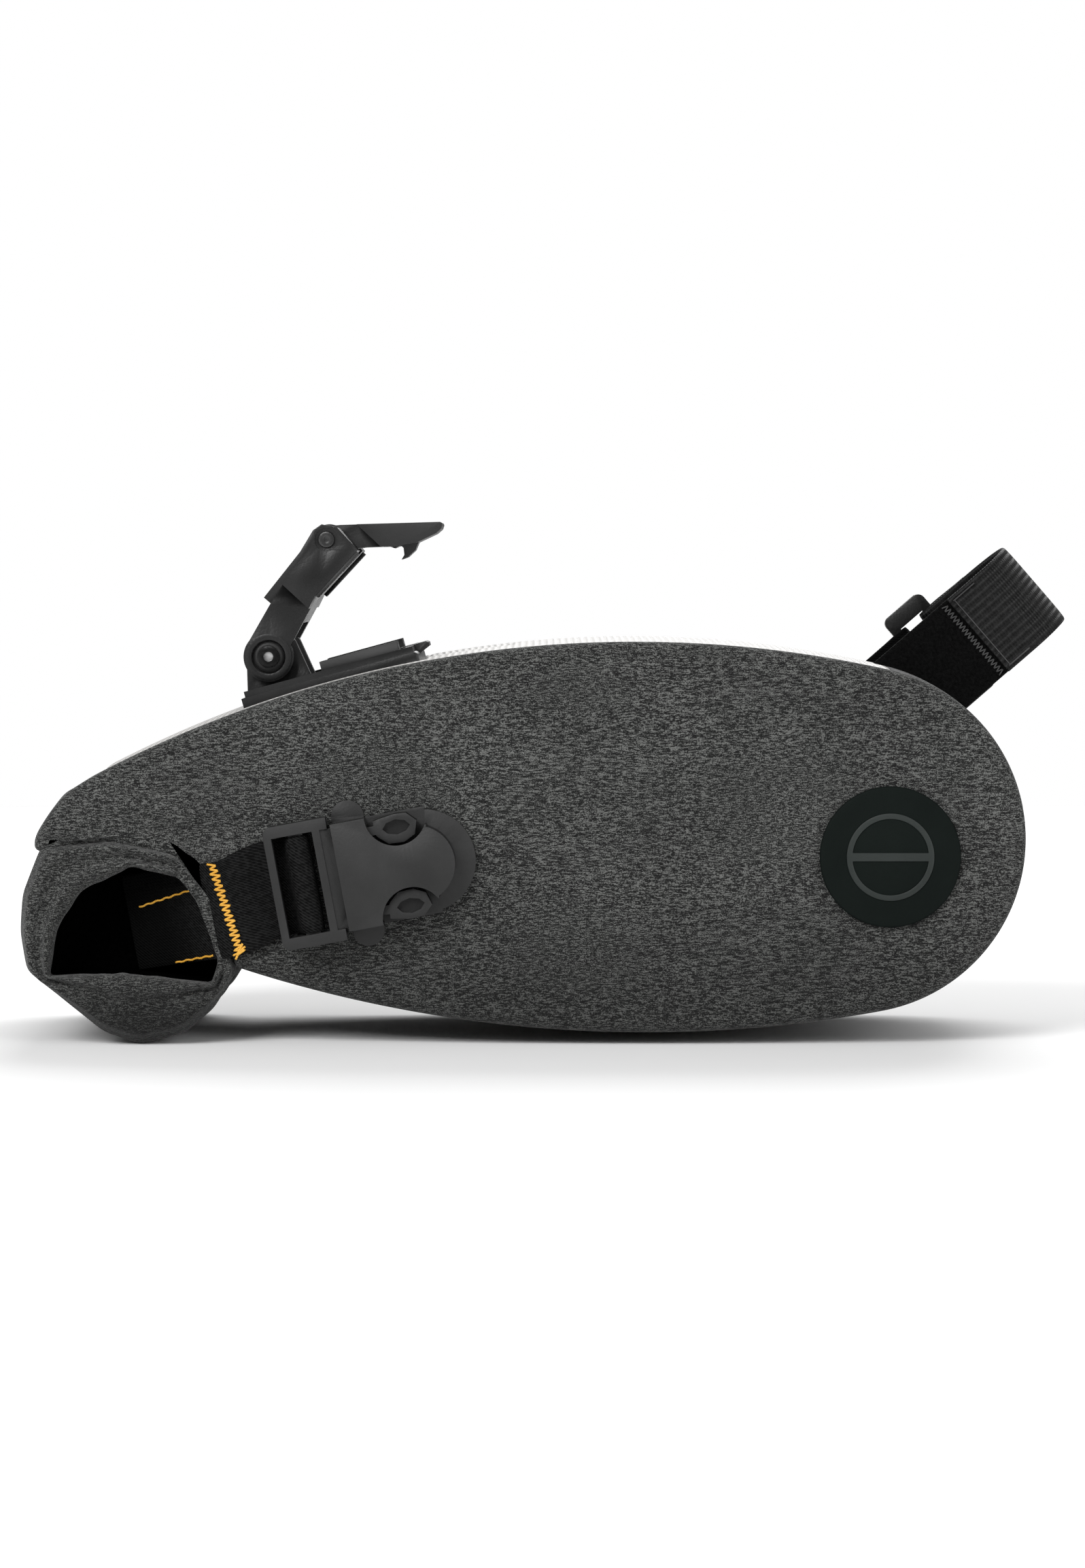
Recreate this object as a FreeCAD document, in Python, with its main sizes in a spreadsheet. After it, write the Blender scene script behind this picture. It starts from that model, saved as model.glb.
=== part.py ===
"""Saddle bag: a stiff-sided pouch that hangs under a bicycle saddle.

The pouch closes at the rear with a rolled mouth whose two ends are held by side-release buckles.  A
clamp on its back grips the two round rails of the saddle, and a strap on its nose goes round the
seatpost.

Frame: X runs forwards to the seatpost strap, Z runs up, and Y = 0 is the middle plane.  The near side
is -Y.  The origin is under the middle of the bag, on the surface that it lies on.

Three tilted frames carry the hardware.  The clamp frame has its origin on the clamp's hinge axis and
its X along the base plate.  The buckle frame has its origin in the middle of the socket's mouth and
its X along the buckle.  The strap frame has its origin where the strap leaves the nose and its X
along the strap.  A piece in one of them is drawn in plain local sizes and placed by one rotation.
"""
import FreeCAD, Part
import math
import os
import Sketcher
from FreeCAD import Placement, Rotation, Vector

SIZES = [
    # alias, value in mm or degrees, what it is
    ("bag_width", 84, "over the two side panels"),
    ("panel_wall", 2.4, "padded fabric wall"),
    ("bag_top", 104.2, "height of the crown of the back"),
    ("bag_bottom", 3.2, "height of the lowest line of the belly"),
    ("top_radius", 300, "arc of the back"),
    ("belly_radius", 340, "arc of the belly"),
    ("nose_radius", 45, "arc of the nose"),
    ("nose_x", 79.4, "centre of the nose arc"),
    ("nose_z", 53, "centre of the nose arc"),
    ("collar_x", -80, "plane where the panels meet the rear collar"),
    ("seam_gap", 0.3, "between soft pieces"),
    ("liner_wall", 0.6, "waterproof liner"),
    ("liner_inset", 3.4, "liner below the padded wall"),
    ("roll_rear", -135.6, "rearmost line of the roll"),
    ("roll_length", 55.9, "roll along X"),
    ("roll_height", 53.5, "roll along Z"),
    ("roll_overhang", 3, "lip of the roll beyond a side panel"),
    ("mouth_depth", 22, "hollow in each end of the roll"),
    ("collar_wall", 2.6, "folded fabric of the collar"),
    ("stiffener_wall", 1.6, "stiff strip rolled into the mouth"),
    ("badge_radius", 18.2, "round rubber badge"),
    ("badge_x", 89.2, "badge centre"),
    ("badge_z", 48.8, "badge centre"),
    ("badge_wall", 1.2, "badge"),
    ("mark_wall", 0.35, "raised mark on the badge"),
    # clamp
    ("clamp_rear_x", -78, "rear edge of the clamp base"),
    ("seat_sink", 0.6, "clamp base into the padded back"),
    ("base_length", 47.4, "clamp base"),
    ("base_half_width", 30, "clamp base"),
    ("base_rear", 8.9, "hinge axis to the rear edge of the base"),
    ("pivot_height", 12, "hinge axis above the underside of the base"),
    ("flange_wall", 3.3, "rim flange of the base"),
    ("deck_height", 4.1, "floor of the base above its underside"),
    ("rim_height", 4.9, "raised rim of the base above its underside"),
    ("rim_wall", 1.1, "raised rim of the base"),
    ("ear_inner", 8.4, "hinge ears, inner face"),
    ("ear_outer", 12.5, "hinge ears, outer face"),
    ("arm_outer", 16.8, "outer face of the arm's fork"),
    ("arm_eye_radius", 6.6, "eye of the arm round the hinge"),
    ("boss_radius", 6, "raised ring round the hinge screw"),
    ("boss_wall", 0.7, "raised ring round the hinge screw"),
    ("boss_recess_radius", 4.5, "recess in the raised ring"),
    ("boss_recess", 1.6, "depth of the recess"),
    ("pivot_radius", 2, "hinge screw"),
    ("pivot_head_radius", 2.8, "hinge screw head and nut"),
    ("pivot_head", 1.1, "hinge screw head and nut"),
    ("washer_wall", 0.4, "hinge washers"),
    ("hex_radius", 1.3, "hexagon sockets"),
    ("hinge_gap", 0.3, "running gap beside a hinged piece"),
    ("pin_gap", 0.05, "radial gap of a hinge pin"),
    ("arm_open", 32, "angle of the arm at rest, from closed"),
    ("wing_half_width", 26, "wide upper part of the arm"),
    ("latch_half_width", 8.4, "latch lever inside the arm"),
    ("head_half_width", 13, "wide head of the latch lever"),
    ("hook_half_width", 6, "hook of the latch lever"),
    ("catch_half_width", 8.2, "catch on the base"),
    ("catch_front", 41.3, "lip of the catch in the clamp frame"),
    ("catch_lip_bottom", 3.6, "lip of the catch above the underside of the base"),
    ("catch_top", 5, "catch above the underside of the base"),
    ("latch_x", 33.2, "latch pin in the clamp frame, arm closed"),
    ("latch_z", 9.3, "latch pin in the clamp frame, arm closed"),
    ("latch_pin_radius", 1.5, "latch pin"),
    ("latch_eye_radius", 4.2, "ends of arm and lever round the latch pin"),
    ("rail_radius", 3.5, "saddle rail"),
    ("rail_spacing", 44, "saddle rails, centre to centre"),
    ("rail_height", 9.1, "rail axis above the underside of the base"),
    ("rail_wrap", 58, "half angle of a rail that its cradle covers"),
    ("cradle_half_width", 4.8, "rubber cradle under a rail"),
    ("cradle_rear", 13, "cradle's rear end in the clamp frame"),
    ("cradle_front", 34, "cradle's front end in the clamp frame"),
    ("grip_wall", 0.8, "rubber under the arm's wings"),
    ("backing_wall", 1.6, "backing plate inside the bag"),
    ("backing_drop", 2, "backing plate below the underside of the base"),
    ("screw_radius", 1.5, "clamp base screws"),
    ("screw_head_radius", 2.6, "clamp base screws"),
    ("screw_head", 1.3, "clamp base screws"),
    ("screw_rear_x", 15, "rear pair in the clamp frame"),
    ("screw_front_x", 31, "front pair in the clamp frame"),
    ("screw_y", 12, "from the middle plane"),
    ("spring_radius", 2.2, "eye of the latch spring"),
    ("spring_leaf", 0.5, "latch spring leaf"),
    ("spring_half_width", 3, "latch spring leaf"),
    ("spring_leg", 8, "leg of the latch spring"),
    # side-release buckles
    ("buckle_x", -52.3, "middle of the socket's mouth"),
    ("buckle_z", 43.9, "middle of the socket's mouth"),
    ("buckle_tilt", 10.5, "buckle axis, nose up"),
    ("webbing_width", 25, "buckle webbing and seatpost strap"),
    ("webbing_wall", 1.4, "webbing"),
    ("socket_half_width", 13.9, "socket housing"),
    ("socket_wall", 1.4, "walls of the socket"),
    ("socket_height", 9.4, "top of the socket above the panel"),
    ("socket_base", 1.7, "base flange of the socket"),
    ("socket_nose_radius", 9.9, "rounded end of the housing"),
    ("flange_nose_radius", 13.3, "rounded end of the base flange"),
    ("notch_radius", 8, "finger notch in each side of the housing"),
    ("notch_x", 16.9, "finger notch centre"),
    ("bump_radius", 4.2, "sewing lugs of the base flange"),
    ("frame_half_width", 16, "ladder frame"),
    ("frame_rear", -17.5, "rear bar of the ladder frame"),
    ("bar_wall", 2, "bars of the ladder frame"),
    ("buckle_gap", 0.35, "play of the plug in the socket"),
    ("prong_wall", 2.3, "spring prongs of the plug"),
    ("prong_z", 10.3, "prong root from the buckle axis"),
    ("guide_half_width", 2.4, "middle guide of the plug"),
    # seatpost strap
    ("strap_angle", 62.8, "place of the strap round the nose arc"),
    ("strap_tilt", 41, "direction of the strap, tip up"),
    ("strap_half_gap", 13, "middle plane to the inside of the loop"),
    ("strap_reach", 40.2, "strap from the nose to its tip"),
    ("tape_wall", 1.8, "fuzzy tape"),
    ("tape_length", 22, "fuzzy tape"),
    ("band_start", 18.8, "where the ribbed band is sewn on"),
    ("band_wall", 1.5, "ribbed band"),
    ("bend_radius", 11, "inside of the band's round tip"),
    ("ring_rise", 2.5, "ring above the strap's middle line"),
    ("ring_rear", 3.4, "ring in the strap frame"),
    ("ring_length", 13, "ring along the strap"),
    ("ring_bar", 2.7, "bars of the ring"),
    ("ring_wall", 3.2, "ring across the strap"),
    ("ring_margin", 2.4, "ring's side bars beyond the webbing"),
]

# The roll's section, as shares of its length and height, from its lowest point round by the rear.
ROLL_SHAPE = [(0.555, 0), (0.39, 0.056), (0.03, 0.357), (0, 0.546), (0.013, 0.733), (0.1, 0.965),
              (0.411, 1), (0.726, 0.929), (0.92, 0.673), (1, 0.35), (0.893, 0.17), (0.767, 0.056)]
MOUTH_SHAPE = [(0.522, 0.864), (0.281, 0.742), (0.168, 0.55), (0.14, 0.335), (0.485, 0.344),
               (0.887, 0.299), (0.923, 0.411), (0.816, 0.71), (0.735, 0.811)]

doc = FreeCAD.newDocument("saddle_bag")
sheet = doc.addObject("Spreadsheet::Sheet", "Sizes")
for row, (alias, value, note) in enumerate(SIZES, start=1):
    sheet.set(f"A{row}", note)
    sheet.set(f"B{row}", str(value))
    sheet.setAlias(f"B{row}", alias)
doc.recompute()

nodes = {}


class Size:
    """A number together with the sheet expression that it comes from."""

    def __init__(self, value, text=None):
        self.value = float(value)
        self.text = text if text else f"({float(value)!r})"

    def combine(self, other, sign, value):
        return Size(value, f"({self.text} {sign} {other.text})")

    def __add__(self, other):
        other = as_size(other)
        return self.combine(other, "+", self.value + other.value)

    def __sub__(self, other):
        other = as_size(other)
        return self.combine(other, "-", self.value - other.value)

    def __mul__(self, other):
        other = as_size(other)
        return self.combine(other, "*", self.value * other.value)

    def __truediv__(self, other):
        other = as_size(other)
        return self.combine(other, "/", self.value / other.value)

    def __radd__(self, other):
        return as_size(other) + self

    def __rsub__(self, other):
        return as_size(other) - self

    def __rmul__(self, other):
        return as_size(other) * self

    def __neg__(self):
        return as_size(0) - self


def as_size(number):
    return number if isinstance(number, Size) else Size(number)


class Sheet:
    """sizes.alias is the cell of that name as a Size."""

    def __getattr__(self, alias):
        return Size(sheet.get(alias), f"Sizes.{alias}")


sizes = Sheet()


# ---------------------------------------------------------------- frames

def arc_frame():
    """Centres of the back's and the belly's arcs, each tangent to the nose arc inside it."""
    nose = sizes.nose_radius.value
    centres = []
    for radius, edge, sign in ((sizes.top_radius.value, sizes.bag_top.value, 1),
                               (sizes.belly_radius.value, sizes.bag_bottom.value, -1)):
        centre_z = edge - sign * radius
        rise = sizes.nose_z.value - centre_z
        centre_x = sizes.nose_x.value - math.sqrt((radius - nose) ** 2 - rise ** 2)
        centres.append(Vector(centre_x, 0, centre_z))
    return centres


def clamp_frame(open_angle=0.0):
    """Origin on the hinge axis; X along the base, which lies on a chord of the back's arc."""
    centre = arc_frame()[0]
    radius = sizes.top_radius.value
    rear_x = sizes.clamp_rear_x.value
    rear_z = centre.z + math.sqrt(radius ** 2 - (rear_x - centre.x) ** 2)
    start = math.atan2(rear_z - centre.z, rear_x - centre.x)
    half_chord = math.asin(sizes.base_length.value / 2 / radius)
    tilt = math.degrees(start - half_chord) - 90
    turn = Rotation(Vector(0, 1, 0), -tilt)
    lift = sizes.pivot_height.value - sizes.seat_sink.value
    origin = Vector(rear_x, 0, rear_z) + turn.multVec(Vector(sizes.base_rear.value, 0, lift))
    return Placement(origin, Rotation(Vector(0, 1, 0), -tilt - open_angle))


def buckle_frame():
    origin = Vector(sizes.buckle_x.value, 0, sizes.buckle_z.value)
    return Placement(origin, Rotation(Vector(0, 1, 0), -sizes.buckle_tilt.value))


def strap_frame():
    angle = math.radians(sizes.strap_angle.value)
    radius = sizes.nose_radius.value
    origin = Vector(sizes.nose_x.value + radius * math.cos(angle), 0,
                    sizes.nose_z.value + radius * math.sin(angle))
    return Placement(origin, Rotation(Vector(0, 1, 0), -sizes.strap_tilt.value))


# ---------------------------------------------------------------- drawing helpers

def new_body(name):
    body = doc.addObject("PartDesign::Body", name)
    body.Label = name
    nodes[name] = body
    return body


def new_sketch(body, name, plane, level):
    """A sketch on one of the body's own origin planes, moved along that plane's normal to level."""
    support = next(item for item in body.Origin.OriginFeatures if item.Role == plane)
    sketch = body.newObject("Sketcher::SketchObject", name)
    sketch.AttachmentSupport = (support, [""])
    sketch.MapMode = "FlatFace"
    sketch.setExpression("AttachmentOffset.Base.z", as_size(level).text)
    return sketch


def draw(sketch, outline):
    """A closed polygon of (x, y) sizes, or a circle given as (x, y, radius)."""
    rules = []
    bound = []

    def pin(geometry, point, x, y):
        for kind, size in (("DistanceX", as_size(x)), ("DistanceY", as_size(y))):
            rules.append(Sketcher.Constraint(kind, -1, 1, geometry, point, size.value))
            bound.append(size)

    if isinstance(outline, tuple):
        x, y, radius = (as_size(item) for item in outline)
        sketch.addGeometry(Part.Circle(Vector(x.value, y.value, 0), Vector(0, 0, 1), radius.value), False)
        pin(0, 3, x, y)
        rules.append(Sketcher.Constraint("Radius", 0, radius.value))
        bound.append(radius)
    else:
        places = [Vector(as_size(x).value, as_size(y).value, 0) for x, y in outline]
        count = len(places)
        lines = [Part.LineSegment(places[i], places[(i + 1) % count]) for i in range(count)]
        sketch.addGeometry(lines, False)
        for i, (x, y) in enumerate(outline):
            pin(i, 1, x, y)
    first = 0
    if not isinstance(outline, tuple):
        joints = [Sketcher.Constraint("Coincident", i, 2, (i + 1) % count, 1) for i in range(count)]
        sketch.addConstraint(joints)
        first = count
    sketch.addConstraint(rules)
    for index, size in enumerate(bound, start=first):
        if "Sizes" in size.text:
            sketch.setExpression(f"Constraints[{index}]", size.text)


def slab(body, name, outline, low, high, plane="XZ_Plane", cut=False):
    """The outline padded, or pocketed, from low to high along the plane's own axis."""
    low, high = as_size(low), as_size(high)
    middle = (low + high) / 2
    level = -middle if plane == "XZ_Plane" else middle
    sketch = new_sketch(body, name + "_sketch", plane, level)
    draw(sketch, outline)
    before = body.Shape.Volume if cut else 0
    feature = body.newObject("PartDesign::Pocket" if cut else "PartDesign::Pad", name)
    feature.Profile = sketch
    feature.SideType = "Symmetric"
    feature.setExpression("Length", (high - low).text)
    doc.recompute()
    if cut and not body.Shape.Volume < before:
        raise ValueError(f"{name} cuts nothing")
    return feature


def mirrored_slabs(body, name, outline, inner, outer, cut=False):
    """The same slab on both sides of the middle plane."""
    slab(body, name + "_near", outline, -outer, -inner, cut=cut)
    slab(body, name + "_far", outline, inner, outer, cut=cut)


def box(x_low, x_high, z_low, z_high):
    return [(x_low, z_low), (x_high, z_low), (x_high, z_high), (x_low, z_high)]


def round_edges(body, name, corners, radius, axis="y"):
    """Fillets the straight edges along axis that pass through the given corners."""
    doc.recompute()
    along = Vector(0, 1, 0) if axis == "y" else Vector(0, 0, 1)
    tip = body.Tip
    chosen = []
    for number, edge in enumerate(tip.Shape.Edges, start=1):
        if len(edge.Vertexes) != 2:
            continue
        start, end = edge.Vertexes[0].Point, edge.Vertexes[1].Point
        span = end - start
        if span.Length < 0.01 or span.normalize().cross(along).Length > 0.001:
            continue
        for x, other in corners:
            place = start.z if axis == "y" else start.y
            if abs(start.x - as_size(x).value) < 0.01 and abs(place - as_size(other).value) < 0.01:
                chosen.append(f"Edge{number}")
                break
    if not chosen:
        raise ValueError(f"{name} finds no edge")
    fillet = body.newObject("PartDesign::Fillet", name)
    fillet.Base = (tip, chosen)
    fillet.setExpression("Radius", as_size(radius).text)
    doc.recompute()
    if "Invalid" in fillet.State:
        raise ValueError(f"{name} fails")
    return fillet


def place(item, frame):
    item.Placement = frame
    return item


def add_feature(name, shape):
    feature = doc.addObject("Part::Feature", name)
    feature.Label = name
    feature.Shape = shape
    nodes[name] = feature
    return feature


def minus(name, base, tool):
    cut = doc.addObject("Part::Cut", name)
    cut.Label = name
    cut.Base = base
    cut.Tool = tool
    nodes[name] = cut
    return cut


# ---------------------------------------------------------------- the pouch

def side_face(inset, rear):
    """The pouch seen from the side: three tangent arcs and a straight rear edge."""
    top, belly = arc_frame()
    nose = Vector(sizes.nose_x.value, 0, sizes.nose_z.value)
    top_radius = sizes.top_radius.value - inset
    belly_radius = sizes.belly_radius.value - inset
    nose_radius = sizes.nose_radius.value - inset

    def on_arc(centre, radius, x, sign):
        return Vector(x, 0, centre.z + sign * math.sqrt(radius ** 2 - (x - centre.x) ** 2))

    top_joint = top + (nose - top).normalize() * top_radius
    belly_joint = belly + (nose - belly).normalize() * belly_radius
    top_rear = on_arc(top, top_radius, rear, 1)
    belly_rear = on_arc(belly, belly_radius, rear, -1)
    nose_tip = nose + Vector(nose_radius, 0, 0)
    edges = [
        Part.Arc(top_rear, on_arc(top, top_radius, 0, 1), top_joint).toShape(),
        Part.Arc(top_joint, nose_tip, belly_joint).toShape(),
        Part.Arc(belly_joint, on_arc(belly, belly_radius, 0, -1), belly_rear).toShape(),
        Part.LineSegment(belly_rear, top_rear).toShape(),
    ]
    return Part.Face(Part.Wire(edges))


def side_prism(inset, half_width, rear):
    face = side_face(inset, rear)
    face.translate(Vector(0, -half_width, 0))
    return face.extrude(Vector(0, 2 * half_width, 0))


def make_pouch():
    """Side panels, three gusset panels and the liner inside them."""
    half_width = sizes.bag_width.value / 2
    wall = sizes.panel_wall.value
    gap = sizes.seam_gap.value
    rear = sizes.collar_x.value
    edge_round = 0.75 * wall
    for name, side in (("side_panel_near", -1), ("side_panel_far", 1)):
        face = side_face(0, rear)
        face.translate(Vector(0, side * (half_width - wall), 0))
        panel = face.extrude(Vector(0, side * wall, 0))
        outer = [edge for edge in panel.Edges
                 if all(abs(abs(corner.Point.y) - half_width) < 0.01 for corner in edge.Vertexes)
                 and edge.Curve.TypeId == "Part::GeomCircle"]
        add_feature(name, panel.makeFillet(edge_round, outer))

    inner_half = half_width - wall
    ring = side_prism(0, inner_half, rear).cut(side_prism(wall, half_width, rear - wall))
    seat = Part.makeBox(sizes.base_length.value + 2 * gap, 2 * (sizes.base_half_width.value + gap),
                        sizes.pivot_height.value)
    seat.Placement = clamp_frame().multiply(Placement(
        Vector(-sizes.base_rear.value - gap, -sizes.base_half_width.value - gap,
               -sizes.pivot_height.value), Rotation()))
    ring = ring.cut(seat)
    for x, side in screw_places():
        hole = Part.makeCylinder(sizes.screw_radius.value + 0.1, 2 * sizes.pivot_height.value,
                                 Vector(x.value, side * sizes.screw_y.value, -2 * sizes.pivot_height.value))
        hole.Placement = clamp_frame()
        ring = ring.cut(hole)
    far_away = 1000.0
    front = Part.makeBox(far_away, far_away, far_away,
                         Vector(sizes.nose_x.value, -far_away / 2, -far_away / 2))
    above = Part.makeBox(far_away, far_away, far_away,
                         Vector(-far_away + sizes.nose_x.value, -far_away / 2, sizes.nose_z.value))
    below = Part.makeBox(far_away, far_away, far_away,
                         Vector(-far_away + sizes.nose_x.value, -far_away / 2, sizes.nose_z.value - far_away))
    add_feature("top_panel", ring.common(above))
    add_feature("nose_panel", ring.common(front))
    add_feature("belly_panel", ring.common(below))

    outside = wall + sizes.liner_inset.value
    inside = outside + sizes.liner_wall.value
    liner_half = inner_half - gap
    liner = side_prism(outside, liner_half, rear + gap).cut(
        side_prism(inside, liner_half - sizes.liner_wall.value, rear - gap))
    add_feature("liner", liner)


def roll_points(shape):
    return [(sizes.roll_rear + u * sizes.roll_length, v * sizes.roll_height) for u, v in shape]


def make_rear_end():
    """The collar that narrows the pouch, and the roll with a hollow in each end."""
    half_width = sizes.bag_width / 2
    gap = sizes.seam_gap
    rear = sizes.roll_rear
    lift = sizes.roll_height
    front = sizes.collar_x - 0.01
    top, belly = arc_frame()
    radius = sizes.top_radius.value

    def back_height(x):
        return Size(top.z + math.sqrt(radius ** 2 - (x - top.x) ** 2))

    shoulder_x = sizes.roll_rear + 0.34 * sizes.roll_length
    outline = [(front, back_height(front.value)), (shoulder_x, back_height(shoulder_x.value)),
               (rear + 10.5, lift + 10.5), (rear + 6.2, lift + gap),
               (rear + 0.411 * sizes.roll_length, lift + 2 * gap),
               (rear + 0.726 * sizes.roll_length, 0.929 * lift + 2 * gap),
               (rear + 0.93 * sizes.roll_length, 0.7 * lift), (front, 0.5 * lift)]
    collar = new_body("rear_collar")
    slab(collar, "collar_outside", outline, -half_width, half_width)
    wall = sizes.collar_wall
    hollow = [(front + 1, back_height(front.value) - wall),
              (shoulder_x, back_height(shoulder_x.value) - wall),
              (rear + 14, lift + 9), (rear + 0.42 * sizes.roll_length, lift + 3),
              (rear + 0.74 * sizes.roll_length, 0.929 * lift + 3.5), (front + 1, 0.76 * lift)]
    slab(collar, "collar_inside", hollow, -half_width + wall, half_width - wall, cut=True)
    round_edges(collar, "collar_shoulder", outline[1:4], 4)

    outside = roll_points(ROLL_SHAPE)
    mouth = roll_points(MOUTH_SHAPE)
    lip = sizes.bag_width / 2 + sizes.roll_overhang
    core_half = lip - sizes.mouth_depth
    core = new_body("roll_core")
    slab(core, "core_outside", outside, -core_half, core_half)
    strip = [(rear + 0.3 * sizes.roll_length, 0.42 * lift), (rear + 0.62 * sizes.roll_length, 0.42 * lift),
             (rear + 0.62 * sizes.roll_length, 0.42 * lift + sizes.stiffener_wall),
             (rear + 0.3 * sizes.roll_length, 0.42 * lift + sizes.stiffener_wall)]
    slab(core, "strip_slot", strip, -core_half + 1, core_half - 1, cut=True)
    round_edges(core, "core_round", outside, 2.5)
    stiffener = new_body("roll_stiffener")
    inset = 0.1
    slab(stiffener, "strip",
         [(strip[0][0] + inset, strip[0][1] + inset), (strip[1][0] - inset, strip[1][1] + inset),
          (strip[2][0] - inset, strip[2][1] - inset), (strip[3][0] + inset, strip[3][1] - inset)],
         -core_half + 1 + inset, core_half - 1 - inset)

    passage_x = rear + 0.76 * sizes.roll_length
    passage = box(passage_x, rear + 1.2 * sizes.roll_length, 0.3 * lift, 1.2 * lift)
    for name, side in (("roll_end_near", -1), ("roll_end_far", 1)):
        end = new_body(name)
        low, high = side_span(side, core_half, lip)
        slab(end, name + "_outside", outside, low, high)
        slab(end, name + "_mouth", mouth, low - 1, high + 1, cut=True)
        round_edges(end, name + "_round", outside, 2.5)
        low, high = side_span(side, half_width - 0.2, lip + 1)
        slab(end, name + "_passage", passage, low, high, cut=True)


def side_span(side, inner, outer):
    """The Y span from inner to outer on the near side (-1) or the far side (1)."""
    return (-outer, -inner) if side < 0 else (inner, outer)


def make_badge():
    """A round rubber badge with a plain raised ring and bar."""
    face = -sizes.bag_width / 2
    badge = new_body("badge")
    slab(badge, "badge_disc", (sizes.badge_x, sizes.badge_z, sizes.badge_radius),
         face - sizes.badge_wall, face)
    mark = new_body("badge_mark")
    outer = face - sizes.badge_wall
    slab(mark, "ring", (sizes.badge_x, sizes.badge_z, 0.62 * sizes.badge_radius), outer - sizes.mark_wall,
         outer)
    slab(mark, "ring_hole", (sizes.badge_x, sizes.badge_z, 0.54 * sizes.badge_radius),
         outer - 1, outer + 1, cut=True)
    bar = box(sizes.badge_x - 0.56 * sizes.badge_radius, sizes.badge_x + 0.56 * sizes.badge_radius,
              sizes.badge_z - 0.06 * sizes.badge_radius, sizes.badge_z + 0.06 * sizes.badge_radius)
    slab(mark, "bar", bar, outer - sizes.mark_wall, outer)


# ---------------------------------------------------------------- the rail clamp

def underside(height):
    """A height above the underside of the clamp base, in the clamp frame."""
    return height - sizes.pivot_height


def make_clamp_base():
    rear = -sizes.base_rear
    front = sizes.base_length - sizes.base_rear
    bottom = -sizes.pivot_height
    flange = underside(sizes.flange_wall)
    deck = underside(sizes.deck_height)
    rim = underside(sizes.rim_height)
    half = sizes.base_half_width
    body = new_body("clamp_base")
    slab(body, "flange", box(rear, front, bottom, flange), -half, half)
    round_edges(body, "flange_front", [(front, flange)], 1.2)
    inner_half = half - 1.3
    slab(body, "deck", box(rear + 1, front - 1, bottom + 1, deck), -inner_half, inner_half)
    mirrored_slabs(body, "side_rim", box(rear + 1, front - 1, bottom + 1, rim), inner_half - sizes.rim_wall,
                   inner_half)
    front_wall = front - 1 - sizes.rim_wall * 2
    slab(body, "front_rim", box(front_wall, front - 1, bottom + 1, rim), -inner_half, inner_half)
    catch_half = sizes.catch_half_width
    lip = sizes.catch_front
    top = underside(sizes.catch_top)
    lip_bottom = underside(sizes.catch_lip_bottom)
    catch = [(front_wall - 2, bottom + 1), (front, bottom + 1), (front, lip_bottom - 1.2),
             (lip, lip_bottom), (lip, top - 0.4), (lip - 0.6, top), (front_wall - 2, top)]
    slab(body, "catch", catch, -catch_half, catch_half)
    ear = [(rear, bottom + 1), (-5.4, 3.4), (-2.2, 6.2), (3, 6.4), (7.6, 2.6), (9.8, bottom + 1)]
    mirrored_slabs(body, "ear", ear, sizes.ear_inner, sizes.ear_outer)
    round_edges(body, "ear_round", ear[1:5], 1.6)
    slab(body, "hinge_bore", (0, 0, sizes.pivot_radius + sizes.pin_gap), -half, half, cut=True)
    for number, (x, side) in enumerate(screw_places()):
        hole = (x, side * sizes.screw_y, sizes.screw_radius + 0.1)
        slab(body, f"screw_hole_{number}", hole, bottom - 1, deck + 1, plane="XY_Plane", cut=True)
        seat = (x, side * sizes.screw_y, sizes.screw_head_radius + 0.1)
        slab(body, f"screw_seat_{number}", seat, deck - sizes.screw_head - 0.1, deck + 1, plane="XY_Plane",
             cut=True)
    place(body, clamp_frame())


def screw_places():
    return [(x, side) for x in (sizes.screw_rear_x, sizes.screw_front_x) for side in (-1, 1)]


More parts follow.
